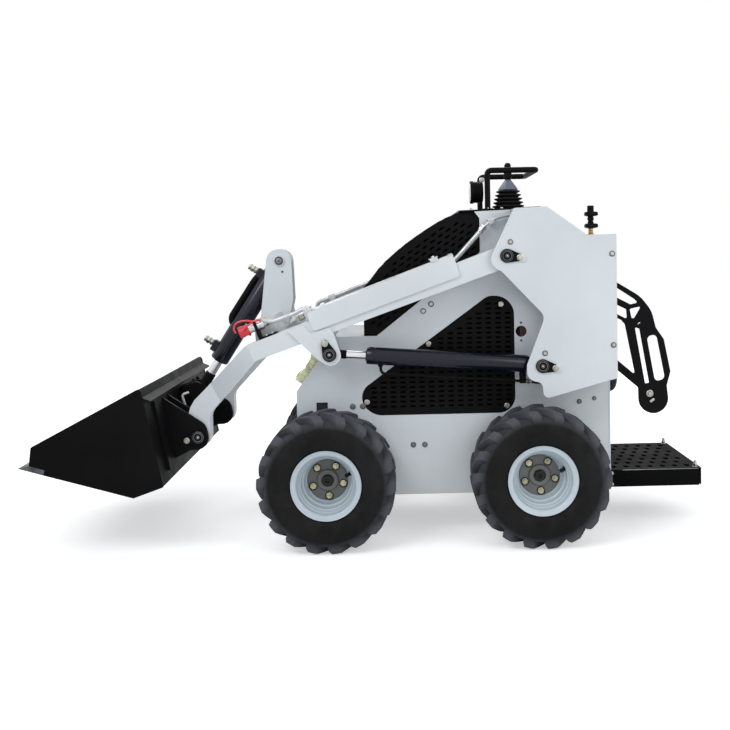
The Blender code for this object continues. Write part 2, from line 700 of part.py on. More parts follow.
def arm_outline():
    along = Vector((math.cos(ARM_SLOPE), math.sin(ARM_SLOPE)))
    up = Vector((-along.y, along.x)) * ARM_DEPTH / 2
    end = Vector(ARM_PIVOT) + along * ARM_END_RADIUS
    high, low = end + up, end - up
    pin_x, pin_z = BUCKET_PIVOT
    return rounded([
        (high.x, high.y, ARM_DEPTH * 0.45), (ELBOW_TOP_X, arm_top(ELBOW_TOP_X), 0.030),
        (-0.866, 0.503, 0.060), (pin_x - LEG_RADIUS, pin_z + 0.070, 0.050),
        (pin_x - LEG_RADIUS, pin_z - LEG_RADIUS, LEG_RADIUS - 0.001),
        (pin_x + LEG_RADIUS, pin_z - LEG_RADIUS, LEG_RADIUS - 0.001), (pin_x + LEG_RADIUS, 0.462, 0.040),
        (*ELBOW_LOW, 0.030), (low.x, low.y, ARM_DEPTH * 0.45)])


# The arm's front leg steps in between two bends across it
CREASE_NORMAL = Vector((-0.90, 0, -0.435)).normalized()
CREASE_START = Vector((-0.635, 0, 0.691))
CREASE_RUN = 0.194
# Outline of the plates that carry a lift cylinder's front pin: x, z, radius
LUG_CORNERS = [(-0.500, 0.764, 0), (-0.394, 0.660, 0.020), (-0.345, 0.630, 0.034), (-0.312, 0.668, 0.030),
               (-0.338, 0.750, 0), (-0.352, 0.775, 0), (-0.419, 0.754, 0), (-0.446, 0.785, 0)]


def arm_side(side):
    """One arm cut from its side outline, its front leg stepped in between two creases."""
    bores = [circle(ARM_PIVOT, PIN_RADIUS + PIN_PLAY), circle(BUCKET_PIVOT, PIN_RADIUS + PIN_PLAY)]
    arm = slab(arm_outline(), ARM_IN_Y, ARM_OUT_Y, bores)
    for run in (0, CREASE_RUN):
        geometry = arm.verts[:] + arm.edges[:] + arm.faces[:]
        bmesh.ops.bisect_plane(arm, geom=geometry, plane_co=CREASE_START + CREASE_NORMAL * run,
                               plane_no=CREASE_NORMAL)
    for vert in arm.verts:
        run = (vert.co - CREASE_START).dot(CREASE_NORMAL)
        vert.co.y -= ARM_CRANK * min(max(run / CREASE_RUN, 0), 1)
    lug = rounded(LUG_CORNERS)
    extras = []
    for inner, outer in ((ARM_IN_Y - LUG_PLATE, ARM_IN_Y + SINK), (ARM_OUT_Y - SINK, ARM_OUT_Y + LUG_PLATE)):
        extras.append(slab(lug, inner, outer))
    head = ARM_OUT_Y + LUG_PLATE
    extras.append(slab(circle(LUG_PIVOT, PIN_RADIUS), head - 0.001, head + 0.008))
    arm = united(arm, extras)
    return mirrored(arm) if side == LEFT else arm


def lift_arm():
    """Both arms, the cross tube between them and the tower for the tilt cylinder."""
    x, z = CROSS_TUBE
    half = CROSS_SIZE / 2
    reach = ARM_IN_Y - CROSS_END_PLATE / 2
    cross = slab([(-half, -half), (half, -half), (half, half), (-half, half)], -reach, reach)
    cross = moved(moved(cross, turn=-ARM_SLOPE), (x, 0, z))
    end = rounded([(x - 0.046, z + 0.026, 0.010), (x + 0.024, z + 0.050, 0.010),
                   (x + 0.050, z - 0.040, 0.012), (x - 0.040, z - 0.072, 0.012)])
    ends = [slab(end, *sided(side, ARM_IN_Y - CROSS_END_PLATE, ARM_IN_Y + 0.001)) for side in (LEFT, RIGHT)]
    top_x, top_z = TOWER_PIVOT
    tower = rounded([(top_x - TOWER_RADIUS, top_z + TOWER_RADIUS, TOWER_RADIUS - 0.001),
                     (top_x + TOWER_RADIUS, top_z + TOWER_RADIUS, TOWER_RADIUS - 0.001),
                     (top_x + TOWER_RADIUS + 0.006, 0.860, 0.030), (x + 0.046, z + 0.002, 0.008),
                     (x + 0.030, z - 0.024, 0),
                     (x - 0.028, z - 0.044, 0), (x - 0.066, z - 0.020, 0.012)])
    plates = [slab(tower, *sided(side, TOWER_IN_Y, TOWER_IN_Y + TOWER_PLATE)) for side in (LEFT, RIGHT)]
    pin = slab(circle(TOWER_PIVOT, PIN_RADIUS), -TOWER_IN_Y - 0.016, TOWER_IN_Y + 0.016)
    whole = united(arm_side(LEFT), [arm_side(RIGHT), *ends, cross, *plates, pin])
    piece("lift_arm", whole, WHITE, (ARM_PIVOT[0], 0, ARM_PIVOT[1]))


def arm_fittings():
    """Blank cover plates, the pipes above the left arm and the couplers at the elbow."""
    pivot = (ARM_PIVOT[0], 0, ARM_PIVOT[1])
    for side in (LEFT, RIGHT):
        cover = rounded([(-0.434, 0.827, 0.012), (0.084, 1.018, 0.012), (0.107, 0.945, 0.012),
                         (-0.410, 0.762, 0.012)])
        start = ARM_OUT_Y + GAP
        piece("arm_cover_" + side_name(side), slab(cover, *sided(side, start, start + 0.007)), WHITE, pivot)
    # Distance from the middle plane, then stations as x and height above the arm
    runs = [(-0.378, ((-0.530, 0.046), (-0.468, 0.036), (0.090, 0.036))),
            (-0.352, ((-0.490, 0.036), (0.090, 0.036)))]
    tubes = [tube([(x, across, arm_top(x) + rise) for x, rise in stations], ARM_PIPE_RADIUS, 8)
             for across, stations in runs]
    for x in (-0.420, 0.030):
        clamp = slab([(-0.016, 0), (0.016, 0), (0.016, 0.050), (-0.016, 0.050)], -0.392, -0.340)
        tubes.append(moved(moved(clamp, turn=-ARM_SLOPE), (x, 0, arm_top(x) + GAP)))
    piece("arm_pipes", united(tubes[0], tubes[1:]), SILVER, pivot)
    seat = (COUPLER_X, 0, arm_top(COUPLER_X) + GAP)
    angle = slab([(-0.032, 0), (0.034, 0), (0.034, 0.006), (-0.022, 0.006), (-0.022, 0.068), (-0.032, 0.068)],
                 -0.394, -0.340)
    body = [(0, 0), (0.012, 0), (0.012, 0.020), (0.0175, 0.023), (0.0175, 0.046), (0.0150, 0.050),
            (0.0150, COUPLER_LENGTH), (0, COUPLER_LENGTH)]
    cap = [(0, 0), (0.0210, 0), (0.0210, 0.007), (0.0190, 0.010), (0.0190, 0.030), (0.012, 0.037), (0, 0.037)]
    coupler = coupler_lathe(body, 0)
    piece("coupler_set", moved(moved(united(angle, [coupler]), turn=-ARM_SLOPE), seat), STEEL, pivot)
    shell = coupler_lathe(cap, COUPLER_LENGTH + GAP)
    piece("coupler_cap", moved(moved(shell, turn=-ARM_SLOPE), seat), RED, pivot)


def coupler_lathe(profile, start):
    """Turned piece on the coupler's line, a distance along it from its rear end."""
    drawn = moved(lathe(profile, 14), turn=math.pi / 2, axis="Z")
    return moved(drawn, (0.026 - start, -0.367, 0.048))


def side_pipe():
    """Hydraulic tube on the body's left side, behind the arm, on a clamp block."""
    line = -BODY_Y - 0.021
    path = [(0.045, 0.968), (0.184, 1.103), (0.224, 1.141), (0.259, 1.158), (0.300, 1.158)]
    pipe = tube([(x, line, z) for x, z in path], SIDE_PIPE_RADIUS, 8)
    block = box((0.204, line, 1.106), (0.232, -BODY_Y - GAP, 1.142))
    piece("side_pipe", united(pipe, [block]), SILVER)


def cylinder_pair(label, foot, eye, y, barrel, rod, start, end, rod_length, eye_half, foot_half, bodies):
    """Barrel with a blind bore and its rod, drawn along X and turned to the eye."""
    run = math.dist(foot, eye)
    turn = math.atan2(foot[1] - eye[1], eye[0] - foot[0])
    bore = rod + ROD_PLAY
    deep = start + 0.012
    rows = [(0, deep), (bore, deep), (bore, end), (barrel * 0.80, end), (barrel * 0.93, end - 0.005),
            (barrel * 0.93, end - 0.022), (barrel, end - 0.024), (barrel, start + 0.008),
            (barrel * 0.85, start), (barrel * 0.6, start - 0.004), (barrel * 0.6, start - 0.018),
            (0, start - 0.018)]
    tube_solid = moved(lathe(rows, 16), turn=-math.pi / 2, axis="Z")
    bore_hole = circle((0, 0), PIN_RADIUS + PIN_PLAY)
    ring = slab(circle((0, 0), PIN_RADIUS + FOOT_WALL), -foot_half, foot_half, [bore_hole])
    solid = moved(moved(united(ring, [tube_solid]), turn=turn), (foot[0], y, foot[1]))
    piece(label + "_barrel" + bodies, solid, NAVY, (foot[0], y, foot[1]), True)
    tail = run - rod_length
    head = run - EYE_RADIUS + 0.006
    rows = [(0, tail), (rod - 0.002, tail), (rod, tail + 0.002), (rod, head), (0, head)]
    shaft = moved(lathe(rows, 12), turn=-math.pi / 2, axis="Z")
    knuckle = slab(circle((run, 0), EYE_RADIUS), -eye_half, eye_half)
    solid = moved(moved(united(knuckle, [shaft]), turn=turn), (foot[0], y, foot[1]))
    piece(label + "_rod" + bodies, solid, CHROME, (eye[0], y, eye[1]), True)


def cylinders():
    for side in (LEFT, RIGHT):
        cylinder_pair("lift", LIFT_FOOT, LUG_PIVOT, side * LIFT_Y, LIFT_BARREL, LIFT_ROD, LIFT_BARREL_START,
                      LIFT_BARREL_END, LIFT_ROD_LENGTH, LIFT_EYE_HALF, 0.022, "_" + side_name(side))
    cylinder_pair("tilt", TOWER_PIVOT, TILT_EYE, 0, TILT_BARREL, TILT_ROD, TILT_BARREL_START,
                  TILT_BARREL_END, TILT_ROD_LENGTH, TILT_EYE_HALF, 0.026, "")


def sheet_line():
    """Outer face of the bucket's bent sheet, a little inside the edge of the side plates."""
    top_x, top_z = BUCKET_TOP
    outer = [EDGE_BACK, BUCKET_HEEL, BUCKET_KNEE, BUCKET_BACK, (top_x, top_z - 0.004)]
    inset = band(outer, BUCKET_INSET)[len(outer):][::-1]
    along = (Vector(inset[1]) - Vector(inset[0])).normalized()
    inset[0] = tuple(Vector(inset[0]) + along * 2 * GAP)
    return inset


def bucket():
    """Shell with side plates, cutting edge and the attach plate with its ears."""
    pivot = (BUCKET_PIVOT[0], 0, BUCKET_PIVOT[1])
    tip, back = Vector(BUCKET_TIP), Vector(EDGE_BACK)
    along = (back - tip).normalized()
    up = Vector((-along.y, along.x))
    edge = [tuple(tip), tuple(back), tuple(back + up * EDGE_THICK),
            tuple(tip + along * EDGE_BEVEL + up * EDGE_THICK)]
    piece("cutting_edge", slab(edge, -BUCKET_Y, BUCKET_Y), BLACK, pivot)
    seat_front = tip + along * (EDGE_BEVEL + 0.002) + up * (EDGE_THICK + GAP)
    seat_back = back + up * (EDGE_THICK + GAP) + along * GAP
    start = back + along * GAP
    side_corners = rounded([
        (*seat_front, 0), (*seat_back, 0), (*start, 0), (*BUCKET_HEEL, 0.006), (*BUCKET_KNEE, 0.006),
        (*BUCKET_BACK, 0), (*BUCKET_TOP, 0.012), (*BUCKET_LIP, 0.010)])
    inner = BUCKET_Y - BUCKET_SIDE
    shell = slab(band(sheet_line(), BUCKET_SHEET), -inner - 0.001, inner + 0.001)
    sides = [slab(side_corners, *sided(side, inner, BUCKET_Y)) for side in (LEFT, RIGHT)]
    high_x, high_z = BUCKET_BACK
    hook = [(high_x - 0.004, high_z + 0.004), (high_x + HOOK_REACH, high_z - HOOK_DROP),
            (high_x + HOOK_REACH - 0.001, high_z - HOOK_DROP - HOOK_SHEET),
            (high_x - 0.004, high_z + 0.004 - HOOK_SHEET)][::-1]
    lip = slab(hook, -BUCKET_Y, BUCKET_Y)
    piece("bucket_shell", united(shell, [*sides, lip]), BLACK, pivot)
    attach_plate(pivot)


def attach_plate(pivot):
    low, high = [Vector(point) for point in sheet_line()[2:4]]
    down = (low - high).normalized()
    out = Vector((-down.y, down.x))
    top = high + down * 0.020 + out * GAP
    foot = low - down * 0.034 + out * GAP
    plate = slab([tuple(top), tuple(foot), tuple(foot + out * ATTACH_PLATE), tuple(top + out * ATTACH_PLATE)],
                 -ATTACH_Y, ATTACH_Y)
    x, z = BUCKET_PIVOT
    root = out * ATTACH_PLATE * 0.5
    ear_top, ear_low = top + root + down * 0.004, top + root + down * 0.235
    ear = rounded([(*ear_top, 0), (x + 0.026, z + 0.044, 0.038),
                   (x + EAR_RADIUS, z - EAR_RADIUS, EAR_RADIUS * 0.9),
                   (x - 0.030, z - EAR_RADIUS - 0.002, 0.020), (*ear_low, 0)][::-1])
    arm_in, arm_out = ARM_IN_Y - ARM_CRANK, ARM_OUT_Y - ARM_CRANK
    extras = []
    for side in (LEFT, RIGHT):
        near, far = arm_in - EAR_GAP, arm_out + EAR_GAP
        extras.append(slab(ear, *sided(side, near - EAR_PLATE, near)))
        extras.append(slab(ear, *sided(side, far, far + EAR_PLATE)))
        pin_ends = sided(side, near - 0.020, far + EAR_PLATE + 0.008)
        extras.append(slab(circle(BUCKET_PIVOT, PIN_RADIUS), *pin_ends))
        eye_x, eye_z = TILT_EYE
        level = (eye_z - top.y) / down.y
        base = top + down * level + root
        horn = rounded([(*(base - down * 0.010), 0), (eye_x - 0.010, eye_z + 0.034, 0.020),
                        (eye_x + 0.034, eye_z + 0.010, 0.026), (eye_x + 0.020, eye_z - 0.034, 0.026),
                        (*(base + down * 0.120), 0)][::-1])
        extras.append(slab(horn, *sided(side, TILT_EAR_IN, TILT_EAR_IN + EAR_PLATE)))
    piece("attach_plate", united(plate, extras), BLACK, pivot)


def flat_slab(outline, z_low, z_high, holes=()):
    """Solid with the outline as seen from above, between two heights."""
    return moved(slab(outline, -z_high, -z_low, holes), turn=-math.pi / 2, axis="X")


def facing_slab(outline, x_low, x_high, holes=()):
    """Solid with the outline as seen from the end, between two distances along X."""
    return moved(slab(outline, -x_high, -x_low, holes), turn=math.pi / 2, axis="Z")


# The guard plate from the rear sheet round its free edge, and its openings: x, z, radius
GUARD_TOP_Z, GUARD_LOW_Z = 0.923, 0.612
GUARD_CORNERS = [(0.757, 0.868, 0.030), (0.812, 0.808, 0.050), (0.818, 0.738, 0.020), (0.850, 0.700, 0.020),
                 (0.871, 0.575, 0.030), (0.851, 0.540, 0.015), (0.864, 0.440, 0.052), (0.752, 0.440, 0.052),
                 (0.752, 0.530, 0.010)]
GUARD_WINDOWS = [
    [(0.682, 0.890, 0.006), (0.744, 0.842, 0.006), (0.720, 0.832, 0.010), (0.682, 0.858, 0.006)],
    [(0.682, 0.834, 0.006), (0.710, 0.814, 0.006), (0.712, 0.784, 0.006), (0.682, 0.799, 0.006)],
    [(0.725, 0.815, 0.006), (0.760, 0.822, 0.006), (0.736, 0.783, 0.006)],
    [(0.684, 0.780, 0.006), (0.704, 0.764, 0.010), (0.737, 0.582, 0.010), (0.684, 0.628, 0.010)]]
# Centre, length, width and lean in degrees
GUARD_SLOTS = [((0.762, 0.649), 0.200, 0.017, -79), ((0.812, 0.642), 0.165, 0.036, -80)]


def rear_parts():
    """Standing platform, knee pad and the guard plate beside the operator."""
    start = REAR_X + GAP
    holes = []
    rows, columns = 5, 7
    for row in range(rows):
        for column in range(columns):
            if (row + column) % 2 == 0:
                centre = (start + 0.050 + 0.061 * row, (column - (columns - 1) / 2) * 0.062)
                holes.append(slot(centre, 0.040, 0.028))
    plan = [(start, -PLATFORM_Y), (PLATFORM_X, -PLATFORM_Y), (PLATFORM_X, PLATFORM_Y), (start, PLATFORM_Y)]
    tread = flat_slab(plan, PLATFORM_Z - PLATFORM_SHEET, PLATFORM_Z, holes)
    low = PLATFORM_Z - PLATFORM_DEPTH
    under = PLATFORM_Z - PLATFORM_SHEET / 2
    walls = [box((start, -PLATFORM_Y, low), (PLATFORM_X, PLATFORM_SHEET - PLATFORM_Y, under)),
             box((start, PLATFORM_Y - PLATFORM_SHEET, low), (PLATFORM_X, PLATFORM_Y, under)),
             box((PLATFORM_X - PLATFORM_SHEET, -PLATFORM_Y, low), (PLATFORM_X, PLATFORM_Y, under)),
             box((start, -PLATFORM_Y, low), (start + PLATFORM_SHEET, PLATFORM_Y, under))]
    piece("platform", united(tread, walls), BLACK)
    pad = rounded([(y, z, PAD_CORNER) for y, z in ((-PAD_Y, PAD_LOW), (PAD_Y, PAD_LOW),
                                                   (PAD_Y, PAD_HIGH), (-PAD_Y, PAD_HIGH))])
    piece("knee_pad", facing_slab(pad, start, start + PAD_DEPTH), RUBBER)
    guard = rounded([(start, GUARD_TOP_Z, 0), *GUARD_CORNERS, (start, GUARD_LOW_Z, 0)])
    holes = [rounded(corners) for corners in GUARD_WINDOWS]
    holes += [slot(centre, length, width, math.radians(lean)) for centre, length, width, lean in GUARD_SLOTS]
    near = GUARD_Y - GUARD_SHEET
    flange = box((start, GUARD_Y - 0.001, 0.630), (start + GUARD_SHEET, GUARD_Y + 0.040, 0.905))
    piece("guard_plate", united(slab(guard, near, GUARD_Y, holes), [flange]), BLACK)


for body_side in (LEFT, RIGHT):
    side_plate(body_side)
    outer_plate(body_side)
    vent_grille(body_side)
body_sheets()
hood()
console_parts()
inner_parts()
side_pipe()
wheels()
lift_arm()
arm_fittings()
cylinders()
bucket()
rear_parts()
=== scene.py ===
import math

import bmesh
import bpy
from mathutils import Matrix, Vector


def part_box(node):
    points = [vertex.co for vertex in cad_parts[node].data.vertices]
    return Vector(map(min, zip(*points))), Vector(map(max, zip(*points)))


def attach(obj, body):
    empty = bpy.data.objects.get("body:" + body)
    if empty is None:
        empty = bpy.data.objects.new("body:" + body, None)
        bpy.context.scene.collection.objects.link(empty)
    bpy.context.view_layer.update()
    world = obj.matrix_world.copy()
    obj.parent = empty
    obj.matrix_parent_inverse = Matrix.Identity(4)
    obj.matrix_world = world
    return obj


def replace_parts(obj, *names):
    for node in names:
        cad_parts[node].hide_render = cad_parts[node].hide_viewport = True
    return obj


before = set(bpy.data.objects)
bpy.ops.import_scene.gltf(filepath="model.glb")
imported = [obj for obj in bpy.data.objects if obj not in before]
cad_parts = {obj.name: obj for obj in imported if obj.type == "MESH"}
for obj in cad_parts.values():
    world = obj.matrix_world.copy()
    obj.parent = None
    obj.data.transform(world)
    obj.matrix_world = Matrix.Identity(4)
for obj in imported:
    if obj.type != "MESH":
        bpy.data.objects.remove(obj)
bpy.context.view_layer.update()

LEFT, RIGHT = -1, 1
SIDE_NAMES = {LEFT: "left", RIGHT: "right"}


def corners_of(node):
    return [Vector(corner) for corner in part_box(node)]


def centre_of(node):
    return sum(corners_of(node), Vector()) / 2


# The middle point between the axles on the ground, from which places are measured.
MIDDLE_X = (centre_of("tyre_front_left").x + centre_of("tyre_rear_left").x) / 2


def spot(x, y, z):
    return Vector((MIDDLE_X + x, y, z))


def side_path(y, points):
    """Places of (x, z) points at one distance along Y."""
    return [spot(x, y, z) for x, z in points]


# Materials


def new_material(name, colour, roughness, metallic=0.0, coat=0.0, gloss=0.5):
    made = bpy.data.materials.new(name)
    made.use_nodes = True
    shader = made.node_tree.nodes["Principled BSDF"]
    shader.inputs["Base Color"].default_value = (*colour, 1.0)
    shader.inputs["Roughness"].default_value = roughness
    shader.inputs["Metallic"].default_value = metallic
    shader.inputs["Specular IOR Level"].default_value = gloss
    shader.inputs["Coat Weight"].default_value = coat
    shader.inputs["Coat Roughness"].default_value = 0.12
    return made


def add_node(tree, kind, inputs, **settings):
    """Adds a shader node; each of its inputs gets a plain value or another node's output."""
    made = tree.nodes.new("ShaderNode" + kind)
    for name, value in settings.items():
        setattr(made, name, value)
    for name, value in inputs.items():
        if isinstance(value, bpy.types.NodeSocket):
            tree.links.new(value, made.inputs[name])
        else:
            made.inputs[name].default_value = value
    return made


def to_shader(made, socket, output):
    made.node_tree.links.new(output, made.node_tree.nodes["Principled BSDF"].inputs[socket])


def object_place(tree):
    return add_node(tree, "TexCoord", {}).outputs["Object"]


def noise(tree, scale, detail=4.0, stretch=(1, 1, 1)):
    mapping = add_node(tree, "Mapping", {"Vector": object_place(tree), "Scale": stretch})
    place = mapping.outputs["Vector"]
    return add_node(tree, "TexNoise", {"Vector": place, "Scale": scale, "Detail": detail}).outputs["Fac"]


def vary_colour(made, dark, light, scale):
    """Base colour drifts between two tones over the surface."""
    tree = made.node_tree
    ramp = add_node(tree, "ValToRGB", {"Fac": noise(tree, scale)})
    for stop, place, tone in zip(ramp.color_ramp.elements, (0.35, 0.65), (dark, light)):
        stop.position = place
        stop.color = (*tone, 1)
    to_shader(made, "Base Color", ramp.outputs["Color"])


def vary_roughness(made, low, high, scale, stretch=(1, 1, 1)):
    tree = made.node_tree
    spread = add_node(tree, "MapRange", {"Value": noise(tree, scale, 6.0, stretch), "From Min": 0.3,
                                         "From Max": 0.7, "To Min": low, "To Max": high})
    to_shader(made, "Roughness", spread.outputs["Result"])


def bump_from(made, height, strength, distance):
    bump = add_node(made.node_tree, "Bump", {"Height": height, "Strength": strength, "Distance": distance})
    to_shader(made, "Normal", bump.outputs["Normal"])


def add_bump(made, scale, strength, distance, stretch=(1, 1, 1)):
    bump_from(made, noise(made.node_tree, scale, 3.0, stretch), strength, distance)


def paint(name, dark, light, roughness, coat, peel=0.05, gloss=0.5):
    """Sprayed paint: a slight drift in tone and gloss, and the fine ripple of a sprayed coat."""
    made = new_material(name, light, roughness, 0.0, coat, gloss)
    vary_colour(made, dark, light, 2.2)
    vary_roughness(made, roughness - 0.05, roughness + 0.08, 9.0)
    add_bump(made, 260.0, peel, 0.0004)
    return made


def metal(name, dark, light, roughness, stretch=(1, 1, 1), metallic=1.0):
    made = new_material(name, light, roughness, metallic)
    vary_colour(made, dark, light, 14.0)
    vary_roughness(made, roughness * 0.7, roughness * 1.4, 40.0, stretch)
    return made


WHITE = paint("white_enamel", (0.565, 0.61, 0.645), (0.64, 0.68, 0.705), 0.34, 0.35)
BLACK = paint("black_enamel", (0.004, 0.004, 0.0044), (0.007, 0.007, 0.0078), 0.42, 0.0, 0.05, 0.06)
BUCKET_BLACK = paint("bucket_enamel", (0.0028, 0.0028, 0.003), (0.0062, 0.0062, 0.0066), 0.4, 0.0, 0.12,
                     0.045)
NAVY = paint("cylinder_enamel", (0.0035, 0.005, 0.012), (0.0065, 0.0088, 0.021), 0.24, 0.3, 0.04, 0.22)
RIM_PAINT = paint("rim_enamel", (0.425, 0.5, 0.555), (0.505, 0.58, 0.63), 0.36, 0.2)
# Rim paint darkened for the wheel disc: painted shade for the disc's place deep in the wheel's recess
DISC_PAINTED_SHADE = paint("disc_enamel_painted_shade", (0.105, 0.11, 0.102), (0.145, 0.15, 0.14), 0.44, 0.08)
EDGE_STEEL = metal("edge_steel", (0.05, 0.052, 0.056), (0.21, 0.217, 0.23), 0.42, (1, 12, 1), 0.8)
CHROME = metal("rod_chrome", (0.7, 0.71, 0.73), (0.8, 0.81, 0.83), 0.1)
STEEL = metal("cast_steel", (0.07, 0.07, 0.075), (0.14, 0.14, 0.145), 0.45, metallic=0.8)
BRIGHT = metal("brushed_steel", (0.5, 0.51, 0.53), (0.68, 0.69, 0.7), 0.28)
ZINC = metal("zinc_plate", (0.42, 0.41, 0.36), (0.62, 0.61, 0.56), 0.34)
NUT_ZINC = metal("nut_zinc", (0.46, 0.44, 0.28), (0.66, 0.64, 0.46), 0.34)
BLOCK_ZINC = metal("block_zinc", (0.68, 0.71, 0.4), (0.86, 0.88, 0.6), 0.38, metallic=0.3)
BRASS = metal("valve_brass", (0.42, 0.3, 0.12), (0.62, 0.45, 0.2), 0.32)
RED = paint("red_plastic", (0.55, 0.02, 0.035), (0.72, 0.035, 0.055), 0.4, 0.2)
PIPE_PAINT = metal("pipe_paint", (0.44, 0.46, 0.48), (0.6, 0.62, 0.64), 0.34, metallic=0.45)
BOOT_PANEL = paint("boot_panel", (0.1, 0.115, 0.16), (0.15, 0.17, 0.225), 0.45, 0.0, 0.2)
TREAD_BLACK = paint("tread_enamel", (0.0022, 0.0022, 0.0024), (0.005, 0.005, 0.0055), 0.6, 0.0, 0.3, 0.03)
PORT_BLACK = paint("port_black", (0.004, 0.004, 0.004), (0.008, 0.008, 0.008), 0.7, 0.0)
SIGHT_RED = paint("sight_red", (0.03, 0.003, 0.003), (0.06, 0.006, 0.006), 0.5, 0.0)
HOSE = paint("hose_rubber", (0.006, 0.006, 0.006), (0.014, 0.014, 0.015), 0.55, 0.0, 0.3, 0.12)
RUBBER = paint("boot_rubber", (0.006, 0.006, 0.006), (0.014, 0.014, 0.015), 0.6, 0.0, 0.25, 0.12)
LINER = paint("foam_liner", (0.003, 0.003, 0.003), (0.01, 0.01, 0.01), 0.9, 0.0, 0.6, 0.04)
PIN_STEEL = metal("pin_steel", (0.16, 0.165, 0.17), (0.26, 0.265, 0.27), 0.38)
# Dark steel for the washers under the side bolts: painted shadow, the dark ring round each bolt head
WASHER_PAINTED_SHADOW = metal("washer_painted_shadow", (0.11, 0.11, 0.105), (0.2, 0.2, 0.19), 0.5, metallic=0.7)
GLASS = new_material("lamp_glass", (0.8, 0.82, 0.84), 0.08, 0.0, 0.5)
add_bump(GLASS, 120.0, 0.6, 0.002, (1, 1, 6))


SHEEN_FROM, SHEEN_TO = 0.196, 0.226       # radii between which the lugs turn to the lighter tone, a painted reflection of the sky


def tyre_rubber():
    """Black rubber whose lug tops, far from the axle, turn to a lighter bluish tone: a painted reflection of
    the sky.
    """
    made = new_material("tyre_compound", (0.014, 0.014, 0.014), 0.78, gloss=0.16)
    vary_colour(made, (0.0048, 0.0048, 0.0051), (0.0105, 0.0105, 0.0112), 7.0)
    vary_roughness(made, 0.55, 0.8, 25.0)
    add_bump(made, 320.0, 0.22, 0.0006)
    tree = made.node_tree
    rubber = tree.nodes["Principled BSDF"].inputs["Base Color"].links[0].from_socket
    flat = add_node(tree, "VectorMath", {0: object_place(tree), 1: (1, 0, 1)}, operation="MULTIPLY")
    reach = add_node(tree, "VectorMath", {0: flat.outputs[0]}, operation="LENGTH")
    ramp = add_node(tree, "MapRange", {"Value": reach.outputs["Value"], "From Min": SHEEN_FROM,
                                       "From Max": SHEEN_TO})
    # painted reflection: the lug tops blend to a lighter bluish grey that stands in for the sky's reflection
    wear_and_sheen = add_node(tree, "Mix", {0: ramp.outputs["Result"], 6: rubber, 7: (0.072, 0.076, 0.088, 1)},
                    data_type="RGBA")
    to_shader(made, "Base Color", wear_and_sheen.outputs[2])
    return made


def pad_vinyl():
    made = new_material("pad_vinyl", (0.01, 0.01, 0.011), 0.5, gloss=0.2)
    tree = made.node_tree
    grain = add_node(tree, "TexVoronoi", {"Vector": object_place(tree), "Scale": 420.0})
    bump_from(made, grain.outputs["Distance"], 0.35, 0.0006)
    vary_colour(made, (0.007, 0.007, 0.008), (0.014, 0.014, 0.015), 6.0)
    return made


TYRE = tyre_rubber()
VINYL = pad_vinyl()

FINISHES = {
    "side_plate": WHITE, "outer_plate": WHITE, "front_plate": WHITE, "floor_plate": WHITE,
    "rear_plate": WHITE, "rear_deck": WHITE, "console_plate": BLACK, "vent_grille": BLACK, "hood": BLACK,
    "grab_bar": BLACK, "lever_boot": RUBBER, "control_lever": BLACK, "work_lamp": BLACK, "lamp_lens": GLASS,
    "deck_valve": STEEL, "engine_block": STEEL, "nose_valve_block": BLOCK_ZINC, "platform": BLACK,
    "knee_pad": VINYL, "guard_plate": BLACK, "wheel_motor": STEEL, "tyre": TYRE, "rim": RIM_PAINT,
    "lift_arm": WHITE, "arm_cover": WHITE, "arm_pipes": PIPE_PAINT, "side_pipe": PIPE_PAINT,
    "coupler_set": STEEL, "coupler_cap": RED, "lift_barrel": NAVY, "tilt_barrel": NAVY,
    "lift_rod": CHROME, "tilt_rod": CHROME, "bucket_shell": BUCKET_BLACK, "cutting_edge": EDGE_STEEL,
    "attach_plate": BLACK}


def finish_nodes():
    for name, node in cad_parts.items():
        best = max((key for key in FINISHES if name.startswith(key)), key=len)
        node.data.materials.clear()
        node.data.materials.append(FINISHES[best])


finish_nodes()


# Shapes

UP, TO_CAMERA = (0, 0, 1), (0, -1, 0)
UP_AXIS = Vector(UP)


def placed(name, bm, finish, body, sharp=35.0, location=(0, 0, 0)):
    """One visible piece, smooth but for edges sharper than the given angle, on its body."""
    mesh = bpy.data.meshes.new(name)
    bmesh.ops.recalc_face_normals(bm, faces=bm.faces)
    bm.to_mesh(mesh)
    bm.free()
    mesh.shade_smooth()
    mesh.set_sharp_from_angle(angle=math.radians(sharp))
    mesh.materials.append(finish)
    made = bpy.data.objects.new(name, mesh)
    made.location = location
    bpy.context.scene.collection.objects.link(made)
    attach(made, body)
    return made


def skin(bm, rings, joined=False):
    """Faces between rings of corners; the ends are closed, or the last ring meets the first one."""
    for low, high in zip(rings, rings[1:] + rings[:1] if joined else rings[1:]):
        for side, corner in enumerate(low):
            after = (side + 1) % len(low)
            bm.faces.new((corner, low[after], high[after], high[side]))
    if not joined:
        bm.faces.new(rings[0])
        bm.faces.new(rings[-1])


def turn_to(along):
    return UP_AXIS.rotation_difference(Vector(along).normalized()).to_matrix()


def turned(bm, profile, place, along=TO_CAMERA, sides=24, phase=0.0):
    """Adds a turned solid: rows of (radius, height) about a line from place."""
    turn = turn_to(along)
    rings = []
    for radius, height in profile:
        if radius == 0:
            rings.append([bm.verts.new(Vector(place) + turn @ Vector((0, 0, height)))])
            continue
        ring = []
        for side in range(sides):
            angle = math.tau * side / sides + phase
            spoke = Vector((radius * math.cos(angle), radius * math.sin(angle), height))
            ring.append(bm.verts.new(Vector(place) + turn @ spoke))
        rings.append(ring)
    for low, high in zip(rings, rings[1:]):
        for side in range(sides):
            after = (side + 1) % sides
            if len(low) == 1:
                bm.faces.new((low[0], high[side], high[after]))
            elif len(high) == 1:
                bm.faces.new((low[side], high[0], low[after]))
            else:
                bm.faces.new((low[side], high[side], high[after], low[after]))


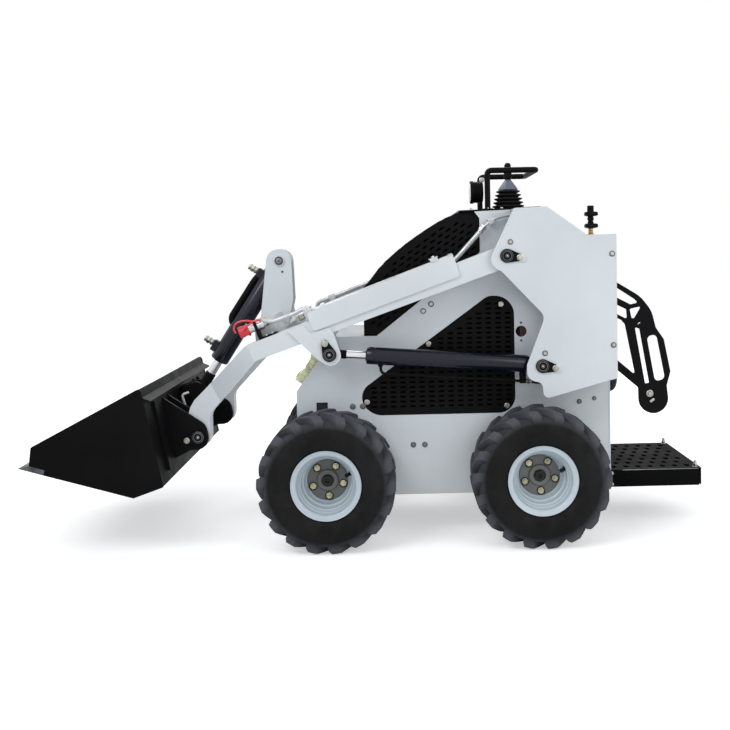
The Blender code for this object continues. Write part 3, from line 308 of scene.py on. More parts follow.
def collar(bm, profile, place, along=TO_CAMERA, sides=32):
    """Adds a ring: a closed loop of (radius, height) turned about a line from place."""
    turn = turn_to(along)
    angles = [math.tau * side / sides for side in range(sides)]
    rings = []
    for radius, height in profile:
        spokes = [Vector((radius * math.cos(a), radius * math.sin(a), height)) for a in angles]
        rings.append([bm.verts.new(Vector(place) + turn @ spoke) for spoke in spokes])
    skin(bm, rings, joined=True)


def waved(bm, place, rows, reach, turn=0.0, sides=48):
    """Adds stacked rings of (radius, height) about an upright line; reach scales each angle's radius."""
    rings = []
    for radius, height in rows:
        ring = []
        for angle in [math.tau * side / sides for side in range(sides)]:
            wide = radius * reach(angle)
            spoke = Vector((wide * math.cos(angle + turn), wide * math.sin(angle + turn), height))
            ring.append(bm.verts.new(Vector(place) + spoke))
        rings.append(ring)
    skin(bm, rings)


def drum(radius, start, stop, ease):
    """Rows of a closed round solid whose two rims are eased."""
    return [(0, start), (radius - ease, start), (radius, start + ease), (radius, stop - ease),
            (radius - ease, stop), (0, stop)]


def post(radius, height):
    """Rows of a plain closed cylinder."""
    return [(0, 0), (radius, 0), (radius, height), (0, height)]


def stub(radius, height, less, ease):
    """Rows of a closed cylinder whose far rim narrows by less over the height of ease."""
    return [(0, 0), (radius, 0), (radius, height - ease), (radius - less, height), (0, height)]


def bolt(bm, place, along=TO_CAMERA, size=0.008):
    """Flanged washer and a domed hexagon head; size is the radius over the flats."""
    flange, head = size * 1.35, size * 0.24
    turned(bm, [(0, 0), (flange, 0), (flange, size * 0.16), (size * 1.2, head), (0, head)], place, along)
    start = Vector(place) + Vector(along).normalized() * head
    turned(bm, [(0, 0), (size, 0), (size, size * 0.55), (size * 0.84, size * 0.74), (0, size * 0.78)],
           start, along, 6, 0.35)


def teardrop(centre, tip, big, small, steps=14):
    """Outline round a large circle and a small one, as (x, z)."""
    run = Vector(tip) - Vector(centre)
    facing = math.atan2(run.y, run.x)
    spread = math.acos((big - small) / run.length)
    points = []
    for step in range(steps + 1):
        angle = facing + spread + (math.tau - 2 * spread) * step / steps
        points.append((centre[0] + big * math.cos(angle), centre[1] + big * math.sin(angle)))
    for step in range(steps + 1):
        angle = facing - spread + 2 * spread * step / steps
        points.append((tip[0] + small * math.cos(angle), tip[1] + small * math.sin(angle)))
    return points


def plate(bm, outline, y_near, y_far, ease=0.0012):
    """Plate between two distances along Y, its outer rim eased; outline is (x, z)."""
    middle = sum((Vector(point) for point in outline), Vector((0, 0))) / len(outline)
    step = ease if y_far > y_near else -ease
    rings = []
    for y, inward in ((y_near, 0.0), (y_far - step, 0.0), (y_far, ease)):
        ring = []
        for point in outline:
            point = Vector(point)
            point += (middle - point).normalized() * inward
            ring.append(bm.verts.new(spot(point.x, y, point.y)))
        rings.append(ring)
    skin(bm, rings)


def arc_path(points, bend, steps=6):
    """The same path with each corner turned on a curve that starts a bend length away."""
    points = [Vector(point) for point in points]
    path = [points[0]]
    for before, corner, after in zip(points, points[1:], points[2:]):
        reach = min(bend, (before - corner).length * 0.48, (after - corner).length * 0.48)
        start = corner + (before - corner).normalized() * reach
        stop = corner + (after - corner).normalized() * reach
        for step in range(steps + 1):
            share = step / steps
            path.append(start.lerp(corner, share).lerp(corner.lerp(stop, share), share))
    path.append(points[-1])
    return path


def swept(bm, points, radius, bend=0.02, sides=16):
    """Adds a closed round tube along a path with curved corners."""
    path = arc_path(points, bend)
    angles = [math.tau * side / sides for side in range(sides)]
    across = None
    rings = []
    for index, point in enumerate(path):
        run = (path[min(index + 1, len(path) - 1)] - path[max(index - 1, 0)]).normalized()
        if across is None:
            across = run.orthogonal()
        across = (across - run * across.dot(run)).normalized()
        other = run.cross(across)
        rings.append([bm.verts.new(point + (across * math.cos(angle) + other * math.sin(angle)) * radius)
                      for angle in angles])
    skin(bm, rings)


# Wheels

WHEEL_NAMES = [f"{axle}_{side}" for axle in ("front", "rear") for side in ("left", "right")]
DISC_ROWS = [
    (0, -0.003), (0.02, -0.003), (0.0215, 0.0025), (0.0225, 0.0035), (0.0352, 0.0035), (0.0366, 0.0022),
    (0.037, -0.006), (0.0384, -0.006), (0.039, -0.0045), (0.07, -0.0045), (0.0712, -0.0056),
    (0.0712, -0.0088), (0, -0.0088)]
RIM_ROWS = [
    (0, -0.009), (0.0726, -0.009), (0.073, -0.0048), (0.0745, -0.004), (0.0768, -0.0012), (0.0795, 0.005),
    (0.0812, 0.014), (0.082, 0.0215), (0.0862, 0.0245), (0.088, 0.0275), (0.0892, 0.042), (0.09, 0.05),
    (0.0935, 0.053), (0.0952, 0.0565), (0.096, 0.064), (0.0985, 0.0672),
    (0.1005, 0.07), (0.1012, 0.074), (0.1015, 0.0835), (0.1028, 0.088), (0.106, 0.0915), (0.11, 0.0932),
    (0.1165, 0.094), (0.119, 0.0962), (0.1205, 0.0968), (0.1217, 0.0955), (0.1217, 0.0925), (0.1195, 0.0912),
    (0.1062, 0.091), (0.105, 0.088), (0.105, -0.086), (0.119, -0.0905), (0.1215, -0.0935),
    (0.1205, -0.0965), (0.115, -0.095), (0.105, -0.088), (0.0985, -0.084), (0.098, -0.012),
    (0.062, -0.012), (0.062, -0.0595), (0, -0.0595)]
TYRE_SECTION = [(0.0898, 0.1056), (0.0905, 0.1222), (0.0985, 0.133), (0.1042, 0.148), (0.1058, 0.166),
                (0.105, 0.185), (0.101, 0.2), (0.0945, 0.2095), (0.08, 0.215), (0.055, 0.2175),
                (0.028, 0.2187), (0.0045, 0.219)]
LUG_FROM = 5            # first row of the section that a lug covers
LUG_RISE = {5: 0.0012, 6: 0.0075, 7: 0.015}
TREAD_TOP = 0.24
LUG_PITCHES = 18
LUG_SWEEP = math.radians(17)
LEAN_HALF = 0.095       # half width over which a lug leans towards the middle
PITCH_STOPS = (0.0, 0.045, 0.15, 0.26, 0.36, 0.455, 0.5, 0.545, 0.65, 0.76, 0.86, 0.955)


def fine_tyre():
    bm = bmesh.new()
    rows = TYRE_SECTION + [(-y, radius) for y, radius in reversed(TYRE_SECTION)]
    last = len(TYRE_SECTION) - 1
    grid = []
    for row, (y, radius) in enumerate(rows):
        near = row <= last
        level = row if near else len(rows) - 1 - row
        lean = max(0.0, (LEAN_HALF - abs(y)) / LEAN_HALF)
        ring = []
        for pitch in range(LUG_PITCHES):
            for index, stop in enumerate(PITCH_STOPS):
                raised = 0 < index < 6 if near else index > 6
                rise = 0.0
                if raised and level >= LUG_FROM:
                    rise = LUG_RISE.get(level, TREAD_TOP - radius)
                angle = math.tau * (pitch + stop) / LUG_PITCHES + LUG_SWEEP * lean
                reach = radius + rise
                ring.append(bm.verts.new((reach * math.cos(angle), y, reach * math.sin(angle))))
        grid.append(ring)
    skin(bm, grid, joined=True)
    return bm


NUT_CIRCLE, NUT_COUNT, FIRST_NUT = 0.056, 5, 0.08 - math.pi / 2
WASHER_ROWS = [(0.01, 0), (0.0152, 0), (0.0152, 0.0012), (0.014, 0.0018), (0.01, 0.0018)]
NUT_ROWS = [(0, 0), (0.0125, 0), (0.0125, 0.0015), (0.01, 0.0022), (0.01, 0.009), (0.0085, 0.0105),
            (0.0052, 0.0105), (0.0052, 0.015), (0.004, 0.0165), (0, 0.0165)]
AXLE_NUT_ROWS = [(0, -0.0028), (0.02, -0.0028), (0.02, 0.0085), (0.018, 0.0105), (0.0095, 0.0105),
                 (0.009, 0.004), (0, 0.004)]
VALVE_ROWS = [(0, 0), (0.0088, 0), (0.0088, 0.006), (0.0062, 0.01), (0.0055, 0.02), (0.0072, 0.0215),
              (0.0072, 0.032), (0.006, 0.0335), (0, 0.0335)]


def wheel_pieces():
    for label in WHEEL_NAMES:
        body = "wheel_" + label
        out = -1 if label.endswith("left") else 1
        centre = centre_of("rim_" + label)
        centre.y = centre_of("tyre_" + label).y
        outward = (0, out, 0)
        tyre = placed("tread_" + label, fine_tyre(), TYRE, body, 32.0, centre)
        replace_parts(tyre, "tyre_" + label)
        bm = bmesh.new()
        turned(bm, RIM_ROWS, centre, outward, 64)
        rim = placed("wheel_rim_" + label, bm, RIM_PAINT, body, 40.0)
        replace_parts(rim, "rim_" + label)
        disc, washers, nuts, axle_nut, valve = (bmesh.new() for _ in range(5))
        turned(disc, DISC_ROWS, centre, outward, 64)
        for index in range(NUT_COUNT):
            angle = math.tau * index / NUT_COUNT + FIRST_NUT
            seat = centre + Vector((math.cos(angle), 0, math.sin(angle))) * NUT_CIRCLE
            collar(washers, WASHER_ROWS, seat - Vector(outward) * 0.0043, outward, 28)
            turned(nuts, NUT_ROWS, seat - Vector(outward) * 0.0042, outward, 6, 0.3)
        turned(axle_nut, AXLE_NUT_ROWS, centre, outward, 6, 0.2)
        turned(valve, VALVE_ROWS, centre + Vector((0.0855, out * 0.026, 0.029)), (-0.55, out * 0.8, -0.1), 16)
        # the disc gets the darker copy of the rim paint, which is painted shade
        placed("wheel_disc_" + label, disc, DISC_PAINTED_SHADE, body, 40.0)
        placed("wheel_washers_" + label, washers, PORT_BLACK, body)
        placed("wheel_nuts_" + label, nuts, NUT_ZINC, body, 25.0)
        placed("axle_nut_" + label, axle_nut, PORT_BLACK, body, 25.0)
        placed("tyre_valve_" + label, valve, HOSE, body)


wheel_pieces()


# Cylinders

PIN_RADIUS = 0.02
ARM_PIVOT = (0.27, 1.012)
LIFT_FOOT, LUG_PIVOT = (0.389, 0.624), (-0.356, 0.679)
TOWER_PIVOT, TILT_EYE = (-0.5655, 1.0085), (-0.887, 0.516)
BUCKET_PIVOT = (-0.841, 0.383)


LIFT_SIZES = {
    "barrel": 0.031, "rod": 0.014, "start": 0.043, "end": 0.618, "rod_length": 0.59, "foot_half": 0.022,
    "eye_half": 0.018, "neck": 0.0155, "neck_length": 0.059, "groove": 0.03}
TILT_SIZES = {
    "barrel": 0.036, "rod": 0.0175, "start": 0.046, "end": 0.457, "rod_length": 0.43, "foot_half": 0.026,
    "eye_half": 0.024, "neck": 0.0208, "neck_length": 0.074, "groove": 0.071}
FOOT_WALL, EYE_RADIUS = 0.014, 0.026


def cylinder(label, side, foot, eye, y, barrel, rod, start, end, rod_length, foot_half, eye_half, neck,
             neck_length, groove):
    """Round barrel with gland and welds, chrome rod, and the black eye on a neck."""
    origin, target = spot(foot[0], y, foot[1]), spot(eye[0], y, eye[1])
    along = (target - origin).normalized()
    run = (target - origin).length
    bore = rod + 0.0009
    rows = [
        (0, start - 0.018), (barrel * 0.6, start - 0.018), (barrel * 0.62, start - 0.005),
        (barrel * 0.66, start - 0.001), (barrel * 0.88, start), (barrel * 0.97, start + 0.006),
        (barrel * 0.97, start + 0.01), (barrel * 1.0, start + 0.013), (barrel, end - groove),
        (barrel * 0.97, end - groove + 0.0012), (barrel * 0.97, end - groove + 0.003),
        (barrel, end - groove + 0.0042), (barrel, end - 0.004), (barrel * 0.93, end), (rod + 0.0065, end),
        (rod + 0.0045, end + 0.0035), (bore, end + 0.0035), (bore, start + 0.012), (0, start + 0.012)]
    body = f"{label}_barrel{side}_body"
    bm = bmesh.new()
    turned(bm, rows, origin, along, 48)
    back = origin + Vector((0, foot_half, 0))
    edge = PIN_RADIUS + FOOT_WALL
    collar(bm, [(PIN_RADIUS + 0.001, 0), (edge - 0.002, 0), (edge, 0.002), (edge, foot_half * 2 - 0.002),
                (edge - 0.002, foot_half * 2), (PIN_RADIUS + 0.001, foot_half * 2)], back)
    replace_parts(placed(f"{label}_tube{side}", bm, NAVY, body), f"{label}_barrel{side}")
    body = f"{label}_rod{side}_body"
    tail = run - rod_length
    bm = bmesh.new()
    turned(bm, [(0, tail), (rod - 0.002, tail), (rod, tail + 0.002), (rod, run - neck_length + 0.001),
                (0, run - neck_length + 0.001)], origin, along, 40)
    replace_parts(placed(f"{label}_shaft{side}", bm, CHROME, body), f"{label}_rod{side}")
    bm = bmesh.new()
    turned(bm, [(0, run - 0.016), (neck * 0.92, run - 0.016), (neck, run - 0.034),
                (neck, run - neck_length + 0.003), (neck - 0.003, run - neck_length), (0, run - neck_length)],
           origin, along, 32)
    back = target + Vector((0, eye_half, 0))
    turned(bm, drum(EYE_RADIUS, 0.0002, eye_half * 2 - 0.0002, 0.002), back, sides=32)
    placed(f"{label}_eye{side}", bm, BLACK, body)
    return origin, along


def fitting(bm, place, along, nuts):
    """Zinc hose fitting: hexagon nuts and round necks in a row, as (radius, length, sides)."""
    height = 0.0
    for radius, length, sides in nuts:
        ease = min(0.0012, length / 3)
        start = Vector(place) + Vector(along).normalized() * height
        turned(bm, drum(radius, 0, length, ease), start, along, sides, 0.4)
        height += length


LIFT_Y, PORT_HALF = 0.362, 0.014
DOWN = (0, 0, -1)


def lift_cylinders():
    for name, side in (("_left", LEFT), ("_right", RIGHT)):
        y = side * LIFT_Y
        cylinder("lift", name, LIFT_FOOT, LUG_PIVOT, y, **LIFT_SIZES)
        body = f"lift_barrel{name}_body"
        bm = bmesh.new()
        path = [(-0.179, 0.64), (-0.178, 0.604), (0.29, 0.5695), (0.312, 0.567)]
        swept(bm, side_path(y, path), 0.005, 0.022)
        turned(bm, stub(0.009, 0.009, 0.0025, 0.003), spot(-0.179, y, 0.637), DOWN, 16)
        turned(bm, stub(0.0125, 0.043, 0.002, 0.003), spot(0.325, y, 0.602), DOWN, 20)
        placed(f"lift_pipe{name}", bm, BLACK, body)
        bm = bmesh.new()
        fitting(bm, spot(0.335, y, 0.5665), (1, 0, -0.1),
                [(0.0085, 0.004, 16), (0.0105, 0.012, 6), (0.0075, 0.005, 16)])
        placed(f"lift_elbow{name}", bm, ZINC, body)
        bm = bmesh.new()
        path = [(0.352, 0.5648), (0.385, 0.56), (0.402, 0.576), (0.404, 0.598)]
        swept(bm, side_path(y, path), 0.0065, 0.02)
        placed(f"lift_hose{name}", bm, HOSE, body)


def tilt_cylinder():
    origin, along = cylinder("tilt", "", TOWER_PIVOT, TILT_EYE, 0, **TILT_SIZES)
    out = Vector((0, 1, 0)).cross(along)
    if out.x > 0:
        out = -out

    def at(run, rise):
        return origin + along * run + out * rise

    body = "tilt_barrel_body"
    ports, pipe, nuts = bmesh.new(), bmesh.new(), bmesh.new()
    for run, length in ((0.082, 0.034), (0.415, 0.044)):
        rings = []
        for rise, half in ((0.028, length / 2), (0.051, length / 2), (0.0535, length / 2 - 0.003)):
            rings.append([ports.verts.new(at(run + end * half, rise) + Vector((0, across * PORT_HALF, 0)))
                          for end, across in ((-1, -1), (1, -1), (1, 1), (-1, 1))])
        skin(ports, rings)
    swept(pipe, [at(0.094, 0.042), at(0.12, 0.0465), at(0.286, 0.048), at(0.304, 0.034)], 0.0122, 0.02)
    turned(pipe, post(0.011, 0.01), at(0.301, 0.037), at(1, -1) - at(0, 0), 16)
    for run in (0.08, 0.408):
        fitting(nuts, at(run, 0.0535), out, [(0.012, 0.003, 20), (0.0155, 0.009, 6), (0.012, 0.004, 20),
                                             (0.016, 0.012, 6), (0.0125, 0.003, 20), (0.0145, 0.007, 6)])
    placed("tilt_ports", ports, NAVY, body)
    placed("tilt_pipe", pipe, BLACK, body)
    placed("tilt_fittings", nuts, ZINC, body)


lift_cylinders()
tilt_cylinder()


# Pins, retainers and bolts

CHEEK_Y, SIDE_Y, LUG_Y, EAR_Y, TOWER_Y = 0.415, 0.285, 0.405, 0.312, 0.05
# Bolts on both sides of the machine: x, z, distance out, radius over the flats
SIDE_BOLTS = [
    (-0.284, 0.4765, SIDE_Y, 0.007), (-0.248, 0.4765, SIDE_Y, 0.007), (-0.0675, 0.332, SIDE_Y, 0.0066),
    (-0.0255, 0.332, SIDE_Y, 0.0066), (0.539, 0.477, SIDE_Y, 0.006), (0.594, 0.487, SIDE_Y, 0.0052),
    (-0.022, 0.818, SIDE_Y, 0.007), (0.007, 0.843, SIDE_Y, 0.007), (0.282, 1.06, CHEEK_Y, 0.0064),
    (0.636, 1.012, CHEEK_Y, 0.0068), (0.3975, 0.669, CHEEK_Y, 0.0066), (0.638, 0.693, CHEEK_Y, 0.0066)]
VENT_BOLTS = [(-0.0049, 0.698), (0.2608, 0.8369), (0.2768, 0.4664), (-0.2327, 0.4901)]
VENT_FACE = 0.279
SIGHT = (0.3315, 0.737)             # middle of the round sight opening
BOSS_ROWS = [(0.0145, 0), (0.0145, 0.0045), (0.013, 0.0058), (0, 0.0058)]
HEAD_ROWS = [(0.0205, 0), (0.0205, 0.0024), (0.0192, 0.0038), (0.0152, 0.0038), (0.0143, 0.0022),
             (0.0122, 0.0022), (0.0112, 0.004), (0.005, 0.004), (0.0044, 0.002), (0, 0.002)]
NIPPLE_ROWS = [(0.0034, 0.0012), (0.0034, 0.004), (0.0018, 0.0052), (0.0025, 0.0066), (0, 0.0074)]
TOWER_RING = [(0.0168, 0), (0.0168, 0.0068), (0.0158, 0.0082), (0.0136, 0.0082), (0.0128, 0.007), (0, 0.007)]
TOWER_FACE = [(0.0112, 0.007), (0.0112, 0.008), (0.01, 0.0088), (0.0036, 0.0088), (0.003, 0.0066),
              (0, 0.0066)]


def retainer(black, steel, rings, centre, tip, face, thick, side):
    """Teardrop plate over a pin's end, with the pin's ringed head, its grease nipple and the bolt."""
    outward = (0, side, 0)
    plate(black, teardrop(centre, tip, 0.0245, 0.012), side * (face + 0.0004), side * (face + thick))
    head = spot(centre[0], side * (face + thick - 0.0002), centre[1])
    turned(black, HEAD_ROWS, head, outward, 32)
    for outer, inner, rise in ((0.0209, 0.019, 0.0036), (0.0164, 0.014, 0.0043), (0.0072, 0.005, 0.0045)):
        collar(rings, [(inner, 0.002), (outer, 0.002), (outer, rise - 0.0006), (outer - 0.0006, rise),
                       (inner + 0.0006, rise), (inner, rise - 0.0006)], head, outward, 32)
    turned(steel, NIPPLE_ROWS, head, outward, 12)
    bolt(steel, spot(tip[0], side * (face + thick), tip[1]), outward, 0.0082)


# Retainers on each body: pin, bolt, face and thickness
PIN_GROUPS = {
    "chassis": [(ARM_PIVOT, (0.3145, 1.0055), CHEEK_Y, 0.0062),
                (LIFT_FOOT, (0.4335, 0.6165), CHEEK_Y, 0.0062)],
    "arm": [(LUG_PIVOT, (-0.371, 0.719), LUG_Y, 0.0085)],
    "bucket": [(BUCKET_PIVOT, (-0.882, 0.372), EAR_Y, 0.0085)]}
# Small pieces on both sides of the body: finish and the angle of its sharp edges
SIDE_GROUPS = {
    "retainer_bosses": (WHITE, 35.0), "body_bolts": (ZINC, 25.0), "body_washers_painted_shadow": (WASHER_PAINTED_SHADOW, 35.0),
    "side_bolts": (PIN_STEEL, 25.0), "painted_bolts": (WHITE, 25.0), "sight_screws": (STEEL, 25.0),
    "sight_discs": (SIGHT_RED, 35.0), "front_port_plates": (PORT_BLACK, 35.0)}
BOSSES = [(0.3205, 1.0035), (0.4395, 0.6145)]
PORT_PLACE = (-0.3955, 0.2755, 0.4725)


def retainers():
    for body, groups in PIN_GROUPS.items():
        black, steel, rings = bmesh.new(), bmesh.new(), bmesh.new()
        for centre, tip, face, thick in groups:
            for side in (LEFT, RIGHT):
                retainer(black, steel, rings, centre, tip, face, thick, side)
        placed(f"{body}_pin_rings", rings, PIN_STEEL, body)
        placed(f"{body}_retainers", black, BLACK, body)
        placed(f"{body}_pin_bolts", steel, ZINC, body, 25.0)


def bolt_group(z, out):
    """The bolts on the outer plates are bare, those on the side plates dull or, high up, painted."""
    if out != SIDE_Y:
        return "body_bolts"
    return "painted_bolts" if z > 0.8 else "side_bolts"


def side_fasteners():
    parts = {name: bmesh.new() for name in SIDE_GROUPS}
    for side in (LEFT, RIGHT):
        outward = (0, side, 0)
        for x, z in BOSSES:
            turned(parts["retainer_bosses"], BOSS_ROWS, spot(x, side * CHEEK_Y, z), outward, 28)
        for x, z, out, size in SIDE_BOLTS:
            inner, outer = size * 0.9, size * 1.55
            # each side bolt sits on a washer whose dark tone is painted shadow round the head
            collar(parts["body_washers_painted_shadow"], [(inner, 0), (outer, 0), (outer, 0.0012), (size * 1.4, 0.0018),
                                           (inner, 0.0018)], spot(x, side * (out + 0.0002), z), outward, 28)
            bolt(parts[bolt_group(z, out)], spot(x, side * (out + 0.0004), z), outward, size * 0.95)
        for x, z in VENT_BOLTS:
            bolt(parts["body_bolts"], spot(x, side * VENT_FACE, z), outward, 0.0072)
        turned(parts["sight_discs"], [(0.024, 0), (0.024, 0.002), (0.015, 0.0034), (0, 0.004)],
               spot(SIGHT[0], side * (SIDE_Y - 0.012), SIGHT[1]), outward, 32)
        for rise in (0.0315, -0.033):
            bolt(parts["sight_screws"], spot(0.331, side * SIDE_Y, SIGHT[1] + rise), outward, 0.0032)
        turned(parts["front_port_plates"], post(0.038, 0.003),
               spot(PORT_PLACE[0], side * PORT_PLACE[1], PORT_PLACE[2]), outward, 4, math.pi / 4)
    for name, (finish, sharp) in SIDE_GROUPS.items():
        placed(name, parts[name], finish, "chassis", sharp)


def tower_pins():
    rings, faces, dots = bmesh.new(), bmesh.new(), bmesh.new()
    for side in (LEFT, RIGHT):
        outward = (0, side, 0)
        start = spot(TOWER_PIVOT[0], side * TOWER_Y, TOWER_PIVOT[1])
        turned(rings, TOWER_RING, start, outward, 32)
        turned(faces, TOWER_FACE, start, outward, 28)
        turned(dots, [(0.0042, 0), (0.0042, 0.0008), (0, 0.0008)], spot(-0.554, side * TOWER_Y, 0.9665),
               outward, 16)
    placed("tower_pin_rings", rings, STEEL, "arm")
    placed("tower_pin_faces", faces, PIN_STEEL, "arm")
    placed("tower_dots", dots, PORT_BLACK, "arm")


retainers()
side_fasteners()
tower_pins()


# Pipes and couplers on the left arm

ARM_SLOPE = math.atan(0.368)
ALONG_ARM = Vector((math.cos(ARM_SLOPE), 0, math.sin(ARM_SLOPE)))
ABOVE_ARM = Vector((-math.sin(ARM_SLOPE), 0, math.cos(ARM_SLOPE)))
COUPLER_X, COUPLER_Y = -0.571, -0.367
PIPE_RISE, FAR_RISE = 0.0285, 0.0345        # the left arm's pipes and the right arm's, above the arm
OUTER_PIPE, INNER_PIPE = 0.378, 0.352       # distances out along Y
PIPE_RADIUS, PIPE_END = 0.008, 0.09
PIPE_SOCKET = stub(0.0105, 0.016, 0.002, 0.004)
COUPLER_RUN, COUPLER_RISE = 0.026, 0.0483
COUPLER_ROWS = [(0, 0.024), (0.0165, 0.024), (0.0175, 0.026), (0.0175, 0.036), (0.016, 0.0375),
                (0.016, 0.0405), (0.0175, 0.042), (0.0175, 0.048), (0.0155, 0.05), (0.0155, 0.08),
                (0, 0.08)]
CAP_ROWS = [(0, 0), (0.019, 0), (0.0225, 0.0015), (0.023, 0.006), (0.02, 0.0085), (0.0188, 0.013),
            (0.0205, 0.024), (0.0215, 0.033), (0.0195, 0.0366), (0.013, 0.0372), (0.009, 0.0345),
            (0, 0.0345)]
FIRST_STRAP = [(-0.683, 0.76), (-0.6905, 0.774), (-0.686, 0.792), (-0.668, 0.802),
               (-0.641, 0.804), (-0.622, 0.7995), (-0.606, 0.807), (-0.596, 0.803)]
SECOND_STRAP = [(-0.662, 0.764), (-0.65, 0.778), (-0.637, 0.7895), (-0.618, 0.8), (-0.604, 0.804)]


def arm_top(x):
    return ARM_PIVOT[1] + (x - ARM_PIVOT[0]) * math.tan(ARM_SLOPE) + 0.04 / math.cos(ARM_SLOPE)


def on_arm(x, y, run, rise):
    """A place from the arm's top edge at x, along the arm and square to it."""
    return spot(x, y, arm_top(x)) + ALONG_ARM * run + ABOVE_ARM * rise


def block(bm, low, high, across, up, ease=0.0015):
    """Box between two distances along Y, from a corner along two directions, its edges eased."""
    fresh = bmesh.new()
    for y in (low.y, high):
        base = Vector((low.x, y, low.z))
        for shift in (Vector((0, 0, 0)), across, across + up, up):
            fresh.verts.new(base + shift)
    fresh.verts.ensure_lookup_table()
    for corners in ((0, 1, 2, 3), (7, 6, 5, 4), (0, 4, 5, 1), (1, 5, 6, 2), (2, 6, 7, 3), (3, 7, 4, 0)):
        fresh.faces.new([fresh.verts[corner] for corner in corners])
    bmesh.ops.recalc_face_normals(fresh, faces=fresh.faces)
    bmesh.ops.bevel(fresh, geom=fresh.edges[:], offset=ease, segments=2, profile=0.5, affect="EDGES")
    join(bm, fresh)


def join(bm, other):
    """Moves every face of another mesh into this one."""
    mesh = bpy.data.meshes.new("part")
    other.to_mesh(mesh)
    other.free()
    bm.from_mesh(mesh)
    bpy.data.meshes.remove(mesh)


def pipe_socket(bm, across, rise):
    turned(bm, PIPE_SOCKET, on_arm(PIPE_END, across, -0.012, rise), ALONG_ARM, 20)


def arm_hydraulics():
    pipes = bmesh.new()
    upper = [(-0.586, 0.8035), (-0.556, 0.7965), (-0.494, 0.819), (-0.47, 0.827), (-0.445, 0.843)]
    path = side_path(-OUTER_PIPE, upper)
    path += [on_arm(x, -OUTER_PIPE, 0, PIPE_RISE) for x in (-0.4, -0.15, PIPE_END)]
    swept(pipes, path, PIPE_RADIUS, 0.022)
    path = [spot(-0.442, -INNER_PIPE, 0.8115)]
    path += [on_arm(x, -INNER_PIPE, 0, PIPE_RISE) for x in (-0.395, -0.1, PIPE_END)]
    swept(pipes, path, PIPE_RADIUS, 0.022)
    for across in (-OUTER_PIPE, -INNER_PIPE):
        pipe_socket(pipes, across, PIPE_RISE)
    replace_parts(placed("arm_pipe_runs", pipes, PIPE_PAINT, "arm"), "arm_pipes")
    clamps = bmesh.new()
    for x in (-0.42, 0.03):
        block(clamps, on_arm(x, -0.392, -0.014, 0.0005), -0.34, ALONG_ARM * 0.028, ABOVE_ARM * 0.0455)
        block(clamps, on_arm(x, -0.39, -0.017, 0.044), -0.342, ALONG_ARM * 0.034, ABOVE_ARM * 0.0035, 0.0008)
    far = bmesh.new()
    for across in (OUTER_PIPE, INNER_PIPE):
        path = [on_arm(-0.455, across, 0, 0.0005), on_arm(-0.445, across, 0, FAR_RISE)]
        path += [on_arm(x, across, 0, FAR_RISE) for x in (-0.38, -0.12, PIPE_END)]
        swept(far, path, PIPE_RADIUS, 0.018)
        pipe_socket(far, across, FAR_RISE)
    for x in (-0.38, 0.03):
        block(far, on_arm(x, 0.34, -0.014, 0.0005), 0.392, ALONG_ARM * 0.028, ABOVE_ARM * 0.0455)
    placed("arm_pipe_runs_right", far, PIPE_PAINT, "arm")
    placed("arm_pipe_clamps", clamps, PIPE_PAINT, "arm")
    nuts = bmesh.new()
    for x in (-0.42, 0.03):
        bolt(nuts, on_arm(x, -0.365, 0, 0.0475), ABOVE_ARM, 0.0055)
    fitting(nuts, spot(-0.599, -0.372, 0.808), (0.94, 0, -0.3),
            [(0.011, 0.004, 20), (0.014, 0.012, 6), (0.0115, 0.003, 20), (0.0135, 0.01, 6),
             (0.011, 0.006, 20)])
    fitting(nuts, spot(-0.475, -INNER_PIPE, 0.802), ALONG_ARM,
            [(0.014, 0.014, 6), (0.0115, 0.018, 20), (0.01, 0.01, 20)])
    placed("arm_pipe_nuts", nuts, ZINC, "arm", 25.0)


def coupler():
    bracket = bmesh.new()
    block(bracket, on_arm(COUPLER_X, -0.394, -0.032, 0.0003), -0.34, ALONG_ARM * 0.066, ABOVE_ARM * 0.006)
    block(bracket, on_arm(COUPLER_X, -0.394, -0.032, 0.0055), -0.34, ALONG_ARM * 0.009, ABOVE_ARM * 0.0628)
    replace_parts(placed("coupler_bracket", bracket, BLACK, "arm"), "coupler_set")
    back = -ALONG_ARM
    seat = on_arm(COUPLER_X, COUPLER_Y, COUPLER_RUN, COUPLER_RISE)
    body, small, cap, strap = (bmesh.new() for _ in range(4))
    fitting(body, seat, back, [(0.013, 0.018, 6), (0.012, 0.006, 24)])
    turned(body, COUPLER_ROWS, seat, back, 36)
    placed("coupler_body", body, BRIGHT, "arm")
    for run in (-0.004, 0.018):
        bolt(small, on_arm(COUPLER_X, -0.385, run, 0.0063), ABOVE_ARM, 0.0045)
    placed("coupler_bolts", small, ZINC, "arm", 25.0)
    turned(cap, CAP_ROWS, seat + back * 0.0803, back, 40)
    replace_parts(placed("coupler_cap_shell", cap, RED, "arm"), "coupler_cap")
    swept(strap, side_path(-0.388, FIRST_STRAP), 0.0034, 0.012, 10)
    swept(strap, side_path(-0.3895, SECOND_STRAP), 0.0032, 0.01, 10)
    placed("coupler_strap", strap, RED, "arm")


